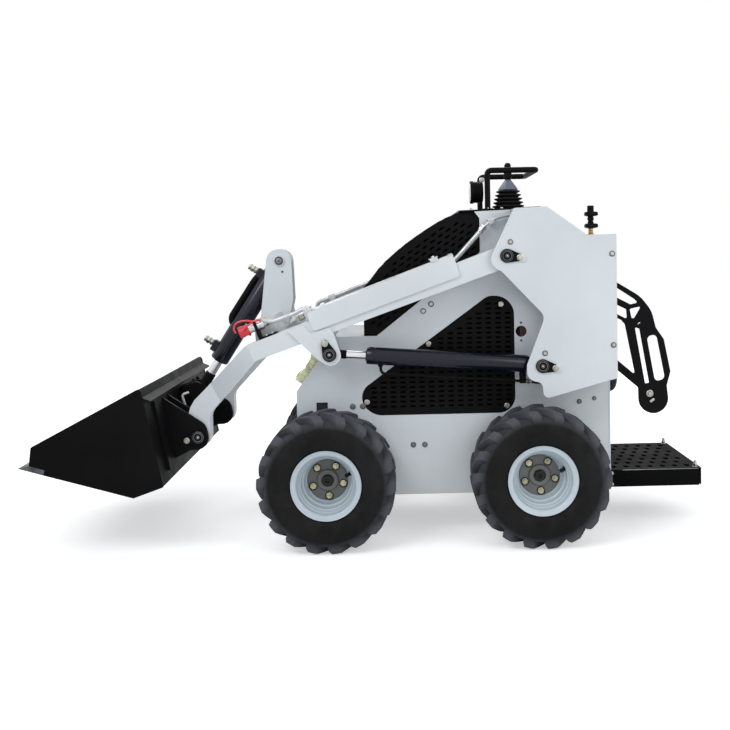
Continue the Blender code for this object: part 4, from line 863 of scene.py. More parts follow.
def body_pipe():
    line = -0.306
    pipe = bmesh.new()
    low = [(0.045, 0.968), (0.094, 0.999), (0.1935, 1.1075)]
    swept(pipe, side_path(line, low), 0.0088, 0.03)
    high = [(0.201, 1.1165), (0.228, 1.14), (0.256, 1.151), (0.3, 1.158)]
    swept(pipe, side_path(line, high), 0.0056, 0.018)
    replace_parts(placed("side_pipe_run", pipe, PIPE_PAINT, "chassis"), "side_pipe")
    union = bmesh.new()
    fitting(union, spot(0.186, line, 1.099), (0.66, 0, 0.75),
            [(0.0115, 0.006, 24), (0.0128, 0.01, 6), (0.0105, 0.003, 24), (0.012, 0.008, 6)])
    placed("side_pipe_union", union, BRIGHT, "chassis", 25.0)
    clamp = bmesh.new()
    block(clamp, spot(0.222, -0.312, 1.122), -SIDE_Y - 0.0003,
          Vector((0.02, 0, 0.008)), Vector((-0.009, 0, 0.022)))
    placed("side_pipe_clamp", clamp, PIPE_PAINT, "chassis")


arm_hydraulics()
coupler()
body_pipe()


# Sheets with openings


def rounded(corners, step=math.radians(7)):
    """Outline through corners (x, z, radius) with smooth arcs."""
    outline = []
    count = len(corners)
    for index, (x, z, radius) in enumerate(corners):
        corner = Vector((x, z))
        before = (Vector(corners[index - 1][:2]) - corner).normalized()
        after = (Vector(corners[(index + 1) % count][:2]) - corner).normalized()
        if radius <= 0:
            outline.append((x, z))
            continue
        half = before.angle(after) / 2
        reach = radius / math.tan(half)
        centre = corner + (before + after).normalized() * (radius / math.sin(half))
        start = corner + before * reach - centre
        sweep = start.angle_signed(corner + after * reach - centre)
        steps = max(2, round(abs(sweep) / step))
        for turn in range(steps + 1):
            outline.append(tuple(centre + Matrix.Rotation(-sweep * turn / steps, 2) @ start))
    return outline


def oblong(centre, length, width, angle=0.0, sides=10):
    """Slot with round ends, as an outline."""
    along = Vector((math.cos(angle), math.sin(angle)))
    across = Vector((-along.y, along.x))
    points = []
    for end in (1, -1):
        for side in range(sides // 2 + 1):
            turn = math.pi * side / (sides // 2) - math.pi / 2
            run = end * ((length - width) / 2 + width / 2 * math.cos(turn))
            points.append(tuple(Vector(centre) + along * run + across * end * width / 2 * math.sin(turn)))
    return points


def inside(point, outline, margin):
    """Whether a point lies within an outline and at least a margin from its edge."""
    x, z = point
    within = False
    for (ax, az), (bx, bz) in zip(outline, outline[1:] + outline[:1]):
        if (az > z) != (bz > z) and x < (bx - ax) * (z - az) / (bz - az) + ax:
            within = not within
        run = Vector((bx - ax, bz - az))
        share = max(0.0, min(1.0, Vector((x - ax, z - az)).dot(run) / max(run.length_squared, 1e-12)))
        if (Vector((x - ax, z - az)) - run * share).length < margin:
            return False
    return within


def slots_in(outline, pitch, size, angle=0.0, margin=0.02, stagger=0.0):
    """Rows of slots that fill an outline, laid along an angle."""
    middle = sum((Vector(point) for point in outline), Vector((0, 0))) / len(outline)
    turn = Matrix.Rotation(angle, 2)
    holes = []
    for row in range(-30, 31):
        for column in range(-24, 25):
            shift = stagger * (row % 2)
            centre = middle + turn @ Vector(((column + shift) * pitch[0], row * pitch[1]))
            if inside(centre, outline, margin):
                holes.append(oblong(centre, size[0], size[1], angle, 6))
    return holes


def filled(loops, lay):
    """A flat face inside the first loop and outside the others; lay gives each pair's place."""
    fresh = bmesh.new()
    for loop in loops:
        corners = [fresh.verts.new(lay(*pair)) for pair in loop]
        for index, corner in enumerate(corners):
            fresh.edges.new((corners[index - 1], corner))
    bmesh.ops.triangle_fill(fresh, edges=fresh.edges[:], use_beauty=True)
    return fresh


def doubled(bm):
    """Gives flat faces a second layer with walls between, and returns that layer's corners."""
    grown = bmesh.ops.extrude_face_region(bm, geom=bm.faces[:])
    return [item for item in grown["geom"] if isinstance(item, bmesh.types.BMVert)]


def upright(run, rise):
    return run, 0, rise


def sheet(outline, openings, y_near, y_far, ease=0.0008):
    """Sheet with openings between two distances along Y; its cut edges are eased on the outer face."""
    fresh = filled([outline, *openings], upright)
    for vert in fresh.verts:
        vert.co = spot(vert.co.x, y_near, vert.co.z)
    for vert in doubled(fresh):
        vert.co.y = y_far
    bmesh.ops.recalc_face_normals(fresh, faces=fresh.faces)
    if ease:
        rim = [edge for edge in fresh.edges if all(abs(vert.co.y - y_far) < 1e-6 for vert in edge.verts)
               and len(edge.link_faces) == 2 and edge.calc_face_angle() > 1.0]
        bmesh.ops.bevel(fresh, geom=rim, offset=ease, segments=1, affect="EDGES")
    return fresh


# Slots: pitch along and across the rows, length and width of a slot
VENT_SLOTS = ((0.035, 0.0175), (0.022, 0.0075))
WALL_SLOTS = ((0.035, 0.018), (0.022, 0.007))
HOOD_SLOTS = ((0.02, 0.04), (0.008, 0.026))
WALL_LEAN = 0.62        # angle of the hood wall's rows
VENT_OUTLINE = rounded([(-0.2815, 0.5137, 0.058), (-0.208, 0.441, 0.075), (0.307, 0.441, 0.06),
                        (0.307, 0.868, 0.07), (0.212, 0.868, 0.045)])
GRILLE_OUTLINE = [(-0.292, 0.513), (-0.203, 0.424), (0.327, 0.424), (0.327, 0.886), (0.214, 0.886)]
SIDE_OUTLINE = [
    (-0.487, 0.15, 0.004), (0.6457, 0.15, 0), (0.6457, 1.0727, 0), (0.549, 1.0727, 0), (0.408, 1.1747, 0),
    (0.299, 1.171, 0), (0.299, 1.1772, 0), (0.168, 1.1732, 0.002), (0.187, 1.148, 0.003),
    (0.187, 1.027, 0), (-0.192, 0.731, 0), (-0.345, 0.731, 0.004), (-0.487, 0.535, 0.004)]
PORT_OUTLINE = rounded([(-0.416, 0.452, 0.003), (-0.375, 0.452, 0.003), (-0.375, 0.493, 0.003),
                        (-0.416, 0.493, 0.003)])
SIGHT_OUTLINE = [(SIGHT[0] + 0.02 * math.cos(angle), SIGHT[1] + 0.02 * math.sin(angle))
                 for angle in (math.tau * step / 32 for step in range(32))]
CHEEK_OUTLINE = [
    (0.296, 1.1775, 0.01), (0.41, 1.181, 0.015), (0.551, 1.079, 0.02), (0.652, 1.081, 0.004),
    (0.652, 0.576, 0.006), (0.392, 0.506, 0.02), (0.387, 0.564, 0.02), (0.334, 0.577, 0.034),
    (0.334, 0.628, 0.02), (0.4, 0.798, 0.035), (0.25, 0.958, 0.03), (0.2, 0.982, 0.04)]


def body_sides():
    for name, side in (("left", LEFT), ("right", RIGHT)):
        openings = [VENT_OUTLINE, SIGHT_OUTLINE, PORT_OUTLINE]
        bm = sheet(rounded(SIDE_OUTLINE), openings, side * VENT_FACE, side * SIDE_Y)
        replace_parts(placed(f"body_side_{name}", bm, WHITE, "chassis"), f"side_plate_{name}")
        bm = sheet(rounded(CHEEK_OUTLINE), [], side * 0.407, side * CHEEK_Y, 0.0012)
        for x, z in (ARM_PIVOT, LIFT_FOOT):
            turned(bm, post(PIN_RADIUS, 0.125), spot(x, side * 0.2855, z), (0, side, 0), 40)
        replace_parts(placed(f"rear_cheek_{name}", bm, WHITE, "chassis"), f"outer_plate_{name}")
        holes = slots_in(VENT_OUTLINE, *VENT_SLOTS)
        liner = sheet(rounded([(x, z, 0.01) for x, z in GRILLE_OUTLINE]), [], side * 0.264, side * 0.266)
        placed(f"vent_liner_{name}", liner, LINER, "chassis")
        bm = sheet(GRILLE_OUTLINE, holes, side * 0.2757, side * 0.2787, 0)
        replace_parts(placed(f"vent_sheet_{name}", bm, BLACK, "chassis"), f"vent_grille_{name}")


HOOD_PATH = [(-0.238, 0.732), (-0.238, 0.906), (-0.217, 0.928), (-0.172, 0.986), (-0.097, 1.051),
             (-0.022, 1.103), (0.053, 1.148), (0.113, 1.17095)]
HOOD_LINER = [(-0.222, 0.742), (-0.222, 0.9), (-0.16, 0.978), (-0.088, 1.04), (-0.016, 1.09),
              (0.056, 1.133), (0.11, 1.156), (0.18, 1.156), (0.18, 0.985), (-0.16, 0.742)]
HOOD_Y, HOOD_SHEET = 0.27, 0.004
HOOD_START = 0.02      # length along the cover that has no slots


def hood_line():
    """Smooth line of the cover as (x, z), with its length from the start to each point."""
    points = [Vector(point) for point in HOOD_PATH]
    line = [points[0], points[0].lerp(points[1], 0.5)]
    for index, (before, here, after) in enumerate(zip(points, points[1:], points[2:])):
        eased = here * 0.68 + before * 0.16 + after * 0.16 if index else here
        line += [here + (before - here) * 0.18, eased, here + (after - here) * 0.18]
    line.append(points[-1])
    lengths = [0.0]
    for start, stop in zip(line, line[1:]):
        lengths.append(lengths[-1] + (stop - start).length)
    return line, lengths


def hood():
    """Slotted cover bent along a smooth line, its slotted side walls and their liners."""
    line, lengths = hood_line()
    whole, field = ([(start, -HOOD_Y), (lengths[-1], -HOOD_Y), (lengths[-1], HOOD_Y), (start, HOOD_Y)]
                    for start in (0, HOOD_START))
    slots = slots_in(field, *HOOD_SLOTS, margin=0.034, stagger=0.5)
    flat = filled([whole, *slots], upright)
    for length in lengths[1:-1]:
        geometry = flat.verts[:] + flat.edges[:] + flat.faces[:]
        bmesh.ops.bisect_plane(flat, geom=geometry, plane_co=(length, 0, 0), plane_no=(1, 0, 0))
    deep = set(doubled(flat))
    for vert in flat.verts:
        run, across = vert.co.x, vert.co.z
        index = max(i for i in range(len(line) - 1) if lengths[i] <= run + 1e-6)
        share = (run - lengths[index]) / (lengths[index + 1] - lengths[index])
        place = line[index].lerp(line[index + 1], share)
        here, after = ((line[min(i + 1, len(line) - 1)] - line[max(i - 1, 0)]).normalized()
                       for i in (index, index + 1))
        bend = here.lerp(after, share).normalized()
        if vert in deep:
            place = place + Vector((bend.y, -bend.x)) * HOOD_SHEET
        vert.co = spot(place.x, across, place.y)
    wall = [(-0.237, 0.735)] + [tuple(point) for point in line[1:]]
    wall = [(x + 0.0012, z - 0.0008) for x, z in wall]
    wall += [(0.197, 1.1715), (0.197, 0.987), (-0.172, 0.7375), (-0.235, 0.7375)]
    for side in (LEFT, RIGHT):
        holes = slots_in(wall, *WALL_SLOTS, WALL_LEAN, 0.026, 0.5)
        join(flat, sheet(wall, holes, side * (HOOD_Y - HOOD_SHEET), side * (HOOD_Y - 0.0001), 0))
        liner = sheet(rounded([(x, z, 0.004) for x, z in HOOD_LINER]), [], side * 0.248, side * 0.25)
        placed(f"hood_liner_{SIDE_NAMES[side]}", liner, LINER, "chassis")
    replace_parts(placed("hood_cover", flat, BLACK, "chassis"), "hood")


body_sides()
hood()


# Console and rear deck


GRIP_ROWS = [(0, 0), (0.007, 0), (0.007, 0.016), (0.0115, 0.018), (0.0152, 0.0215), (0.016, 0.028),
             (0.0156, 0.04), (0.0138, 0.0465), (0.0098, 0.05), (0.0088, 0.056), (0.0112, 0.0605),
             (0.013, 0.067), (0.0126, 0.074), (0.0092, 0.0798), (0.0046, 0.0822), (0, 0.0826)]
BAR_FOOT_ROWS = [(0, 0), (0.023, 0), (0.023, 0.003), (0.0215, 0.0045), (0.012, 0.0045), (0.011, 0.0075),
                 (0, 0.0075)]
FOLDS, FOLD_RISE, FOLD_TAPER = 5, 0.0143, 0.0037
BAR_RADIUS = 0.0108


def squarish(power):
    """How far a square with round corners reaches at an angle, for a half width of 1."""
    return lambda angle: (abs(math.cos(angle)) ** power + abs(math.sin(angle)) ** power) ** (-1 / power)


def lobed(lobes, depth):
    """How far a rim that waves in lobes reaches at an angle, for a radius of 1."""
    return lambda angle: 1 - depth * (0.5 - 0.5 * math.cos(lobes * angle))


def control_set():
    low, high = corners_of("lever_boot")
    foot = Vector(((low.x + high.x) / 2, 0, low.z))
    rows = [(0.056, 0), (0.059, 0.0015), (0.059, 0.0045)]
    for fold in range(FOLDS):
        wide, start = 0.0585 - FOLD_TAPER * fold, 0.006 + FOLD_RISE * fold
        rows += [(wide - 0.0125, start), (wide - 0.002, start + 0.0058), (wide, start + 0.0076),
                 (wide, start + 0.0092), (wide - 0.002, start + 0.0106)]
    rows.append((0.025, 0.079))
    boot, top_panels, grip, bar, bolts = (bmesh.new() for _ in range(5))
    waved(boot, foot, rows, squarish(3.2), 0.2)
    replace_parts(placed("boot_folds", boot, RUBBER, "chassis", 60.0), "lever_boot")
    waved(top_panels, foot, [(0.028, 0.077), (0.03, 0.0795), (0.029, 0.0815), (0.0095, 0.1165),
                             (0.008, 0.118)], squarish(14.0), 0.38)
    placed("boot_top", top_panels, BOOT_PANEL, "chassis", 20.0)
    turned(grip, GRIP_ROWS, (foot.x, 0, corners_of("control_lever")[0].z), UP, 32)
    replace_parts(placed("lever_grip", grip, BLACK, "chassis"), "control_lever")
    low, high = corners_of("grab_bar")
    left, right = low.y + BAR_RADIUS, high.y - BAR_RADIUS
    front, back = low.x + BAR_RADIUS, high.x - BAR_RADIUS
    level = high.z - BAR_RADIUS
    swept(bar, [(front, left, low.z), (front, left, level), (back, left, level), (back, right, level),
                (front, right, level), (front, right, low.z)], BAR_RADIUS, 0.018, 24)
    for y in (left, right):
        turned(bar, BAR_FOOT_ROWS, (front, y, low.z + 0.0002), UP, 32)
        for x, across in ((0.017, 0), (-0.017, 0), (0, 0.017), (0, -0.017)):
            bolt(bolts, (front + x, y + across, low.z + 0.0046), UP, 0.003)
    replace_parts(placed("hand_bar", bar, BLACK, "chassis"), "grab_bar")
    for x in (0.16, 0.392, 0.27):
        for y in (-0.262, 0.262):
            bolt(bolts, spot(x, y, low.z - 0.0004), UP, 0.0055)
    placed("console_bolts", bolts, ZINC, "chassis", 25.0)


def lamp():
    face = centre_of("lamp_lens")
    face.x = corners_of("lamp_lens")[0].x
    back = (1, 0, 0)
    shell, glass, screws = bmesh.new(), bmesh.new(), bmesh.new()
    rows = [(0.0395, 0.0012), (0.041, 0.0002), (0.043, 0.0002), (0.044, 0.0015), (0.044, 0.012),
            (0.043, 0.0135), (0.04, 0.015)]
    for rib in range(5):
        less, start = 0.0006 * rib, 0.0062 * rib
        rows += [(0.04 - less, 0.0172 + start), (0.0424 - less, 0.018 + start),
                 (0.0424 - less, 0.0206 + start), (0.0394 - less, 0.0214 + start)]
    turned(shell, rows + [(0.0385, 0.048), (0.036, 0.05), (0, 0.0505)], face, back, 48)
    turned(shell, [(0, 0.0075), (0.0395, 0.0075), (0.0395, 0.0012)], face, back, 48)
    foot = corners_of("work_lamp")[0].z + 0.0003
    for x, half, size in ((0.029, 0.012, (0.005, face.z - foot + 0.0103)), (0.02, 0.016, (0.03, 0.004))):
        block(shell, Vector((face.x + x, face.y - half, foot)), face.y + half, Vector((size[0], 0, 0)),
              Vector((0, 0, size[1])), 0.001)
    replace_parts(placed("lamp_housing", shell, BLACK, "chassis"), "work_lamp")
    turned(glass, [(0, -0.005), (0.014, -0.0044), (0.026, -0.0026), (0.036, 0.0002), (0.0393, 0.003),
                   (0.0393, 0.006), (0, 0.006)], face, back, 48)
    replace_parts(placed("lamp_glass", glass, GLASS, "chassis"), "lamp_lens")
    for screw in range(12):
        angle = math.tau * screw / 12
        seat = face + Vector((0.0008, 0.0403 * math.cos(angle), 0.0403 * math.sin(angle)))
        bolt(screws, seat, (-1, 0, 0), 0.0016)
    bolt(screws, face + Vector((0.046, -0.015, 0.046)), TO_CAMERA, 0.0075)
    bolt(screws, face + Vector((0.031, -0.012, 0)), TO_CAMERA, 0.006)
    placed("lamp_screws", screws, ZINC, "chassis", 25.0)


def deck_valve():
    foot = centre_of("deck_valve")
    foot.z = corners_of("deck_valve")[0].z
    knobs, stem = bmesh.new(), bmesh.new()
    for start in (0.027, 0.07):
        waved(knobs, foot, [(0.018, start - 0.001), (0.026, start + 0.0015), (0.0275, start + 0.0055),
                            (0.027, start + 0.0115), (0.024, start + 0.015), (0.015, start + 0.0165)],
              lobed(3, 0.2), sides=60)
    turned(knobs, [(0, 0.024), (0.011, 0.024), (0.011, 0.048), (0.0095, 0.049), (0.0095, 0.055),
                   (0.0118, 0.056), (0.0118, 0.064), (0.01, 0.065), (0.01, 0.086), (0.012, 0.087),
                   (0.012, 0.106), (0.0105, 0.1078), (0, 0.1078)], foot, UP, 32)
    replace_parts(placed("deck_valve_knobs", knobs, BLACK, "chassis"), "deck_valve")
    fitting(stem, foot + Vector((0, 0, 0.0001)), UP,
            [(0.0135, 0.006, 6), (0.0085, 0.004, 24), (0.01, 0.008, 6), (0.0078, 0.007, 24)])
    placed("deck_valve_foot", stem, BRASS, "chassis", 25.0)


control_set()
lamp()
deck_valve()


# Rear end, nose and bucket

REAR_X = 0.6523
GUARD_Y, GUARD_SHEET = -0.3, 0.008
GUARD_CORNERS = [
    (REAR_X, 0.9225, 0), (0.7601, 0.856, 0.12), (0.8, 0.804, 0.1), (0.8149, 0.742, 0.03),
    (0.8438, 0.6996, 0.012), (0.867, 0.5818, 0.012), (0.8531, 0.5314, 0.01), (0.864, 0.431, 0.054),
    (0.752, 0.431, 0.054), (0.75, 0.5257, 0.01), (REAR_X, 0.61, 0)]
GUARD_WINDOWS = [
    [(0.666, 0.8945, 0.003), (0.7388, 0.8462, 0.004), (0.7493, 0.8354, 0.003), (0.744, 0.8313, 0.003),
     (0.7238, 0.8275, 0.004), (0.666, 0.858, 0.003)],
    [(0.666, 0.832, 0.003), (0.7093, 0.8097, 0.005), (0.7116, 0.778, 0.005), (0.705, 0.778, 0.003),
     (0.666, 0.799, 0.003)],
    [(0.721, 0.811, 0.005), (0.76, 0.8193, 0.004), (0.7587, 0.8119, 0.003), (0.738, 0.7775, 0.006),
     (0.728, 0.7765, 0.006)],
    [(0.666, 0.783, 0.004), (0.6903, 0.772, 0.012), (0.704, 0.7557, 0.01), (0.7395, 0.572, 0.004),
     (0.666, 0.635, 0.006)],
    [(0.739, 0.7455, 0.004), (0.7565, 0.738, 0.004), (0.79, 0.5415, 0.003), (0.7746, 0.5395, 0.003)],
    [(0.7815, 0.711, 0.016), (0.8175, 0.717, 0.016), (0.8478, 0.556, 0.016), (0.811, 0.545, 0.016)]]


def stud(bm, place, along, size):
    """Standing bolt: washer, nut and a rounded thread end."""
    turned(bm, [(0, 0), (size * 1.7, 0), (size * 1.7, 0.0016), (size, 0.002), (size, 0.005), (0, 0.005)],
           place, along)
    turned(bm, [(0, 0), (size * 1.45, 0), (size * 1.5, 0.001), (size * 1.5, 0.008), (size * 1.3, 0.0095),
                (0, 0.0095)], Vector(place) + Vector(along) * 0.0045, along, 6, 0.2)
    turned(bm, [(0, 0), (size * 0.95, 0), (size * 0.95, 0.009), (size * 0.6, 0.0118), (0, 0.0124)],
           Vector(place) + Vector(along) * 0.0135, along)


def guard():
    bm = sheet(rounded(GUARD_CORNERS), [rounded(window) for window in GUARD_WINDOWS],
               GUARD_Y, GUARD_Y - GUARD_SHEET, 0.001)
    block(bm, spot(REAR_X, GUARD_Y - 0.001, 0.63), GUARD_Y + 0.04, Vector((GUARD_SHEET, 0, 0)),
          Vector((0, 0, 0.275)), 0.001)
    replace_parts(placed("guard_sheet", bm, BLACK, "chassis"), "guard_plate")
    bm = bmesh.new()
    face = GUARD_Y - GUARD_SHEET
    bolt(bm, spot(0.791, face, 0.5034), size=0.0095)
    block(bm, spot(0.793, face - 0.006, 0.47), face - 0.0002, Vector((0.015, 0, 0.011)),
          Vector((-0.005, 0, 0.007)), 0.001)
    block(bm, spot(0.75, face - 0.0035, 0.754), face - 0.0002, Vector((0.008, 0, 0.007)),
          Vector((-0.0025, 0, 0.003)), 0.0006)
    for z in (0.66, 0.77, 0.875):
        bolt(bm, spot(REAR_X + GUARD_SHEET, GUARD_Y + 0.022, z), (1, 0, 0), 0.007)
    placed("guard_bolts", bm, ZINC, "chassis", 25.0)


TREAD_SHEET = 0.004             # the platform's sheet
HOLE_PITCH = (0.046, 0.063)     # its holes, along X and along Y


def standing_platform():
    low, high = corners_of("platform")
    back = high.x
    holes = []
    for row in range(7):
        y = (row - 3) * HOLE_PITCH[1]
        for column in range(7):
            x = low.x + 0.03 + HOLE_PITCH[0] * (column + 0.5 * (row % 2))
            if x < back - 0.024:
                holes.append(oblong((x, y), 0.034, 0.019, math.pi / 2, 12))
    corner = 0.01
    plan = [(low.x, low.y), (back - corner, low.y), (back, low.y + corner), (back, high.y - corner),
            (back - corner, high.y), (low.x, high.y)]
    flat = filled([plan, *holes], lambda x, y: (x, y, high.z))
    for vert in doubled(flat):
        vert.co.z -= TREAD_SHEET
    bmesh.ops.recalc_face_normals(flat, faces=flat.faces)
    deep = Vector((0, 0, high.z - low.z - TREAD_SHEET / 2))
    for y in (low.y, high.y - TREAD_SHEET):
        block(flat, Vector((low.x, y, low.z)), y + TREAD_SHEET, Vector((back - corner - low.x, 0, 0)), deep,
              0.0012)
    for x in (low.x, back - TREAD_SHEET):
        block(flat, Vector((x, low.y + corner, low.z)), high.y - corner, Vector((TREAD_SHEET, 0, 0)), deep,
              0.0012)
    for y in (-0.11, 0.11):
        block(flat, Vector((low.x + 0.01, y - 0.003, low.z + 0.006)), y + 0.003,
              Vector((back - low.x - 0.02, 0, 0)), Vector((0, 0, 0.04)), 0.001)
    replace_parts(placed("platform_tread", flat, TREAD_BLACK, "chassis"), "platform")
    # Bare-steel strip along the near top edge: partly real wear, partly a painted highlight where the edge
    # catches the light
    wear_and_sheen, studs = bmesh.new(), bmesh.new()
    block(wear_and_sheen, Vector((low.x + 0.052, low.y - 0.0002, high.z - 0.0022)), low.y + 0.0016,
          Vector((back - low.x - 0.066, 0, 0)), Vector((0, 0, 0.0024)), 0.0005)
    placed("platform_edge_wear_and_sheen", wear_and_sheen, PIN_STEEL, "chassis")
    for side in (LEFT, RIGHT):
        stud(studs, (back - 0.018, side * (high.y - 0.026), high.z), UP, 0.0055)
        for z in (low.z + 0.01, high.z - 0.012):
            bolt(studs, (low.x + 0.012, side * high.y, z), (0, side, 0), 0.005)
    placed("platform_studs", studs, ZINC, "chassis", 25.0)


BOARD = 0.0135          # depth of the backing board and the piping, where the crown starts


def knee_pad():
    """Upholstered pad: a crowned cushion with piping round it, on a thin backing board."""
    low, high = corners_of("knee_pad")
    middle = (low + high) / 2
    reach = Vector((0, high.y - low.y, high.z - low.z)) / 2
    crown = high.x - low.x

    def ring(share, depth, radius):
        """Rounded rectangle at a share of the full size and a depth from the front of the board."""
        wide, tall = reach.y * share, reach.z * share
        points = []
        for turn, (sign_y, sign_z) in enumerate(((1, 1), (-1, 1), (-1, -1), (1, -1))):
            centre = (sign_y * (wide - radius), sign_z * (tall - radius))
            for step in range(9):
                angle = math.pi / 2 * (turn + step / 8)
                points.append((low.x + depth, middle.y + centre[0] + radius * math.cos(angle),
                               middle.z + centre[1] + radius * math.sin(angle)))
        return points

    rows = [(0.96, 0.0002, 0.038), (1.0, 0.004, 0.04), (1.0, 0.01, 0.04)]
    rows += [(0.985, 0.012, 0.039), (0.985, BOARD, 0.039)]
    steps = 12
    for step in range(1, steps + 1):
        angle = math.pi / 2 * step / steps
        share = 0.6 + 0.385 * math.cos(angle) ** 0.8
        rows.append((share, BOARD + (crown - BOARD) * math.sin(angle) ** 0.9, 0.039 * share))
    for share in (0.45, 0.3, 0.15, 0.05):
        rows.append((share, crown - 0.0001 * share, 0.03 * share))
    bm = bmesh.new()
    skin(bm, [[bm.verts.new(point) for point in ring(*row)] for row in rows])
    cushion = placed("knee_pad_cushion", bm, VINYL, "chassis", 50.0)
    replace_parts(cushion, "knee_pad")
    seam = bmesh.new()
    path = [Vector(point) for point in ring(0.992, 0.0118, 0.0395)]
    swept_loop(seam, path, 0.0026)
    placed("knee_pad_piping", seam, RUBBER, "chassis")


def swept_loop(bm, points, radius, sides=10):
    """Closed round cord through points that lie in one plane across X."""
    rings = []
    across = Vector((1, 0, 0))
    angles = [math.tau * side / sides for side in range(sides)]
    for index, point in enumerate(points):
        other = (points[(index + 1) % len(points)] - points[index - 1]).normalized().cross(across)
        rings.append([bm.verts.new(point + (across * math.cos(angle) + other * math.sin(angle)) * radius)
                      for angle in angles])
    skin(bm, rings, joined=True)


NOSE_FOOT, NOSE_TOP = (-0.487, 0.535), (-0.345, 0.731)
# Sections of the valve block: distance up the slope, width along it and height
NOSE_SECTIONS = [(0.0305, 0.029, 0.029), (0.06, 0.02, 0.024), (0.0805, 0.03, 0.0215), (0.111, 0.018, 0.0265),
                 (0.1295, 0.0205, 0.0295)]
TOP_PLUG = [(0, 0), (0.0082, 0), (0.0082, 0.0028), (0.007, 0.0036), (0.004, 0.0036), (0.004, 0.0012),
            (0, 0.0012)]
SIDE_PLUG = [(0, 0), (0.007, 0), (0.007, 0.0022), (0.0058, 0.003), (0.0034, 0.003), (0.0034, 0.001),
             (0, 0.001)]


def nose_block():
    """Valve block on the sloping nose: sections, their plugs and the bolts through them."""
    start, end = side_path(0, [NOSE_FOOT, NOSE_TOP])
    slope = (end - start).normalized()
    out = Vector((-slope.z, 0, slope.x))

    def at(y, run, rise):
        return start + Vector((0, y, 0)) + slope * run + out * rise

    bm, plugs = bmesh.new(), bmesh.new()
    for run, width, high in NOSE_SECTIONS:
        block(bm, at(-0.268, run, 0.0006), -0.132, slope * width, out * high, 0.0018)
    block(bm, at(-0.262, 0.034, 0.0006), -0.138, slope * 0.112, out * 0.019, 0.001)
    for run, high in ((0.045, 0.0296), (0.0955, 0.0221), (0.1395, 0.0301)):
        for y in (-0.24, -0.2, -0.16):
            turned(plugs, TOP_PLUG, at(y, run, high), out, 24)
    for run in (0.042, 0.092, 0.14):
        turned(plugs, SIDE_PLUG, at(-0.2682, run, 0.0125), sides=24)
    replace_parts(placed("nose_valve_sections", bm, BLOCK_ZINC, "chassis"), "nose_valve_block")
    placed("nose_valve_plugs", plugs, ZINC, "chassis")


def bucket_locks():
    """Cranked lock levers on the attachment plate and a grease nipple under each ear."""
    levers, nipples = bmesh.new(), bmesh.new()
    for side in (LEFT, RIGHT):
        y = side * 0.15
        swept(levers, side_path(y, [(-0.905, 0.523), (-0.931, 0.5145), (-0.9175, 0.464)]), 0.0045, 0.01)
        turned(levers, stub(0.0095, 0.017, 0.0015, 0.002), spot(-0.9175, y + 0.008, 0.46), sides=28)
        fitting(nipples, spot(-0.8555, side * 0.3045, 0.344), DOWN, [(0.0055, 0.004, 6), (0.0035, 0.005, 16)])
    placed("lock_levers", levers, WHITE, "bucket")
    placed("ear_nipples", nipples, ZINC, "bucket", 25.0)


guard()
standing_platform()
knee_pad()
nose_block()
bucket_locks()


# Stage, lamps and camera

CAMERA_PLACE = (-0.1144, -3.8318, 1.0341)
CAMERA_YAW, CAMERA_PITCH, CAMERA_ROLL = 0.0112, -0.0494, -0.0208
FOCAL_PIXELS = 983.255
AXIS_PIXEL = (408.396, 300.105)
FRAME_PIXELS = 730


def camera():
    forward = Vector((math.sin(CAMERA_YAW) * math.cos(CAMERA_PITCH),
                      math.cos(CAMERA_YAW) * math.cos(CAMERA_PITCH), math.sin(CAMERA_PITCH)))
    level = Vector((math.cos(CAMERA_YAW), -math.sin(CAMERA_YAW), 0))
    upright = level.cross(forward)
    right = level * math.cos(CAMERA_ROLL) + upright * math.sin(CAMERA_ROLL)
    up = upright * math.cos(CAMERA_ROLL) - level * math.sin(CAMERA_ROLL)
    data = bpy.data.cameras.new("camera")
    data.sensor_width = 36.0
    data.lens = FOCAL_PIXELS / FRAME_PIXELS * data.sensor_width
    data.shift_x = (FRAME_PIXELS / 2 - AXIS_PIXEL[0]) / FRAME_PIXELS
    data.shift_y = (AXIS_PIXEL[1] - FRAME_PIXELS / 2) / FRAME_PIXELS
    made = bpy.data.objects.new("camera", data)
    made.matrix_world = (Matrix.Translation(spot(*CAMERA_PLACE))
                         @ Matrix((right, up, -forward)).transposed().to_4x4())
    bpy.context.scene.collection.objects.link(made)
    bpy.context.scene.camera = made


def area_lamp(name, place, target, size, power):
    data = bpy.data.lights.new(name, "AREA")
    data.shape = "RECTANGLE"
    data.size, data.size_y = size
    data.energy = power
    made = bpy.data.objects.new(name, data)
    made.location = place
    made.rotation_euler = (Vector(target) - Vector(place)).to_track_quat("-Z", "Y").to_euler()
    bpy.context.scene.collection.objects.link(made)


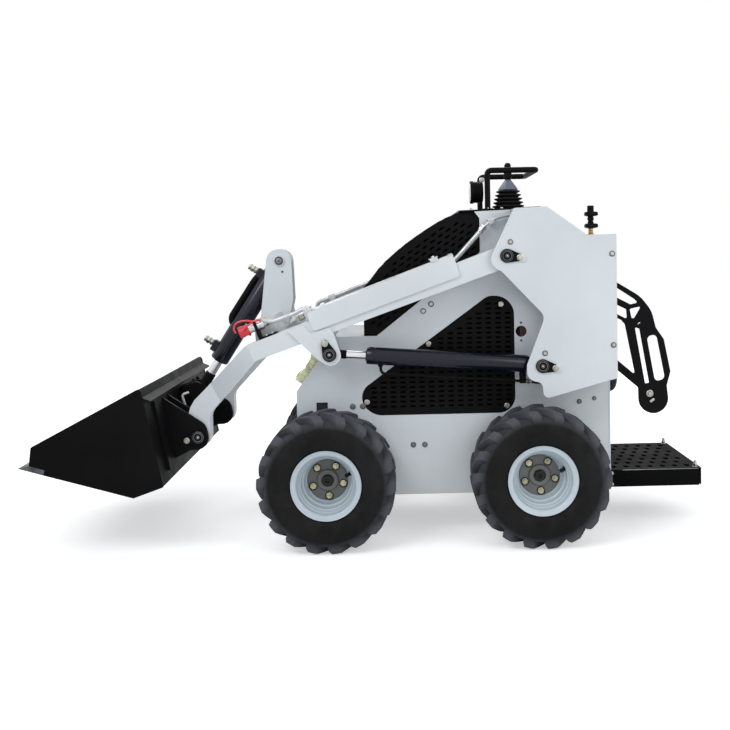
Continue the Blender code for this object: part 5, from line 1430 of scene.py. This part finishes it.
def white_for_camera(tree, shader_out):
    """The camera, glossy rays and clear rays see plain white; light on the object is not changed."""
    path = add_node(tree, "LightPath", {}).outputs
    glow = add_node(tree, "Background", {"Color": (1, 1, 1, 1), "Strength": 1.0})
    seen = path["Is Camera Ray"]
    for kind in ("Is Glossy Ray", "Is Transmission Ray"):
        seen = add_node(tree, "Math", {0: seen, 1: path[kind]}, operation="MAXIMUM").outputs["Value"]
    return add_node(tree, "MixShader", {"Fac": seen, 1: shader_out, 2: glow.outputs[0]}).outputs[0]


FLOOR_REACH, FLOOR_GLOW = 30.0, 0.42


def studio():
    world = bpy.data.worlds.new("studio")
    world.use_nodes = True
    tree = world.node_tree
    soft = tree.nodes["Background"]
    soft.inputs["Color"].default_value = (0.96, 0.98, 1.0, 1)
    soft.inputs["Strength"].default_value = 0.62
    tree.links.new(white_for_camera(tree, soft.outputs[0]), tree.nodes["World Output"].inputs["Surface"])
    bpy.context.scene.world = world
    floor_mesh = bpy.data.meshes.new("floor")
    around = [(x * FLOOR_REACH, y * FLOOR_REACH, 0) for x, y in ((-1, -1), (1, -1), (1, 1), (-1, 1))]
    floor_mesh.from_pydata(around, [], [(0, 1, 2, 3)])
    floor = bpy.data.objects.new("floor", floor_mesh)
    floor.location.z = -0.001
    bpy.context.scene.collection.objects.link(floor)
    pale = new_material("floor_pale", (0.92, 0.92, 0.93), 0.9)
    tree = pale.node_tree
    seen = add_node(tree, "LightPath", {}).outputs["Is Camera Ray"]
    glow = add_node(tree, "Math", {0: seen, 1: FLOOR_GLOW}, operation="MULTIPLY")
    tree.nodes["Principled BSDF"].inputs["Emission Color"].default_value = (1, 1, 1, 1)
    to_shader(pale, "Emission Strength", glow.outputs["Value"])
    floor_mesh.materials.append(pale)
    area_lamp("key", (-2.6, -3.6, 4.2), (0, 0, 0.6), (3.0, 2.0), 105)
    area_lamp("fill", (3.2, -3.4, 2.4), (0, 0, 0.6), (2.5, 2.5), 45)
    area_lamp("back", (0.5, 4.0, 3.6), (0, 0, 0.7), (4.0, 2.0), 70)
    bpy.context.scene.view_settings.view_transform = "Standard"


camera()
studio()
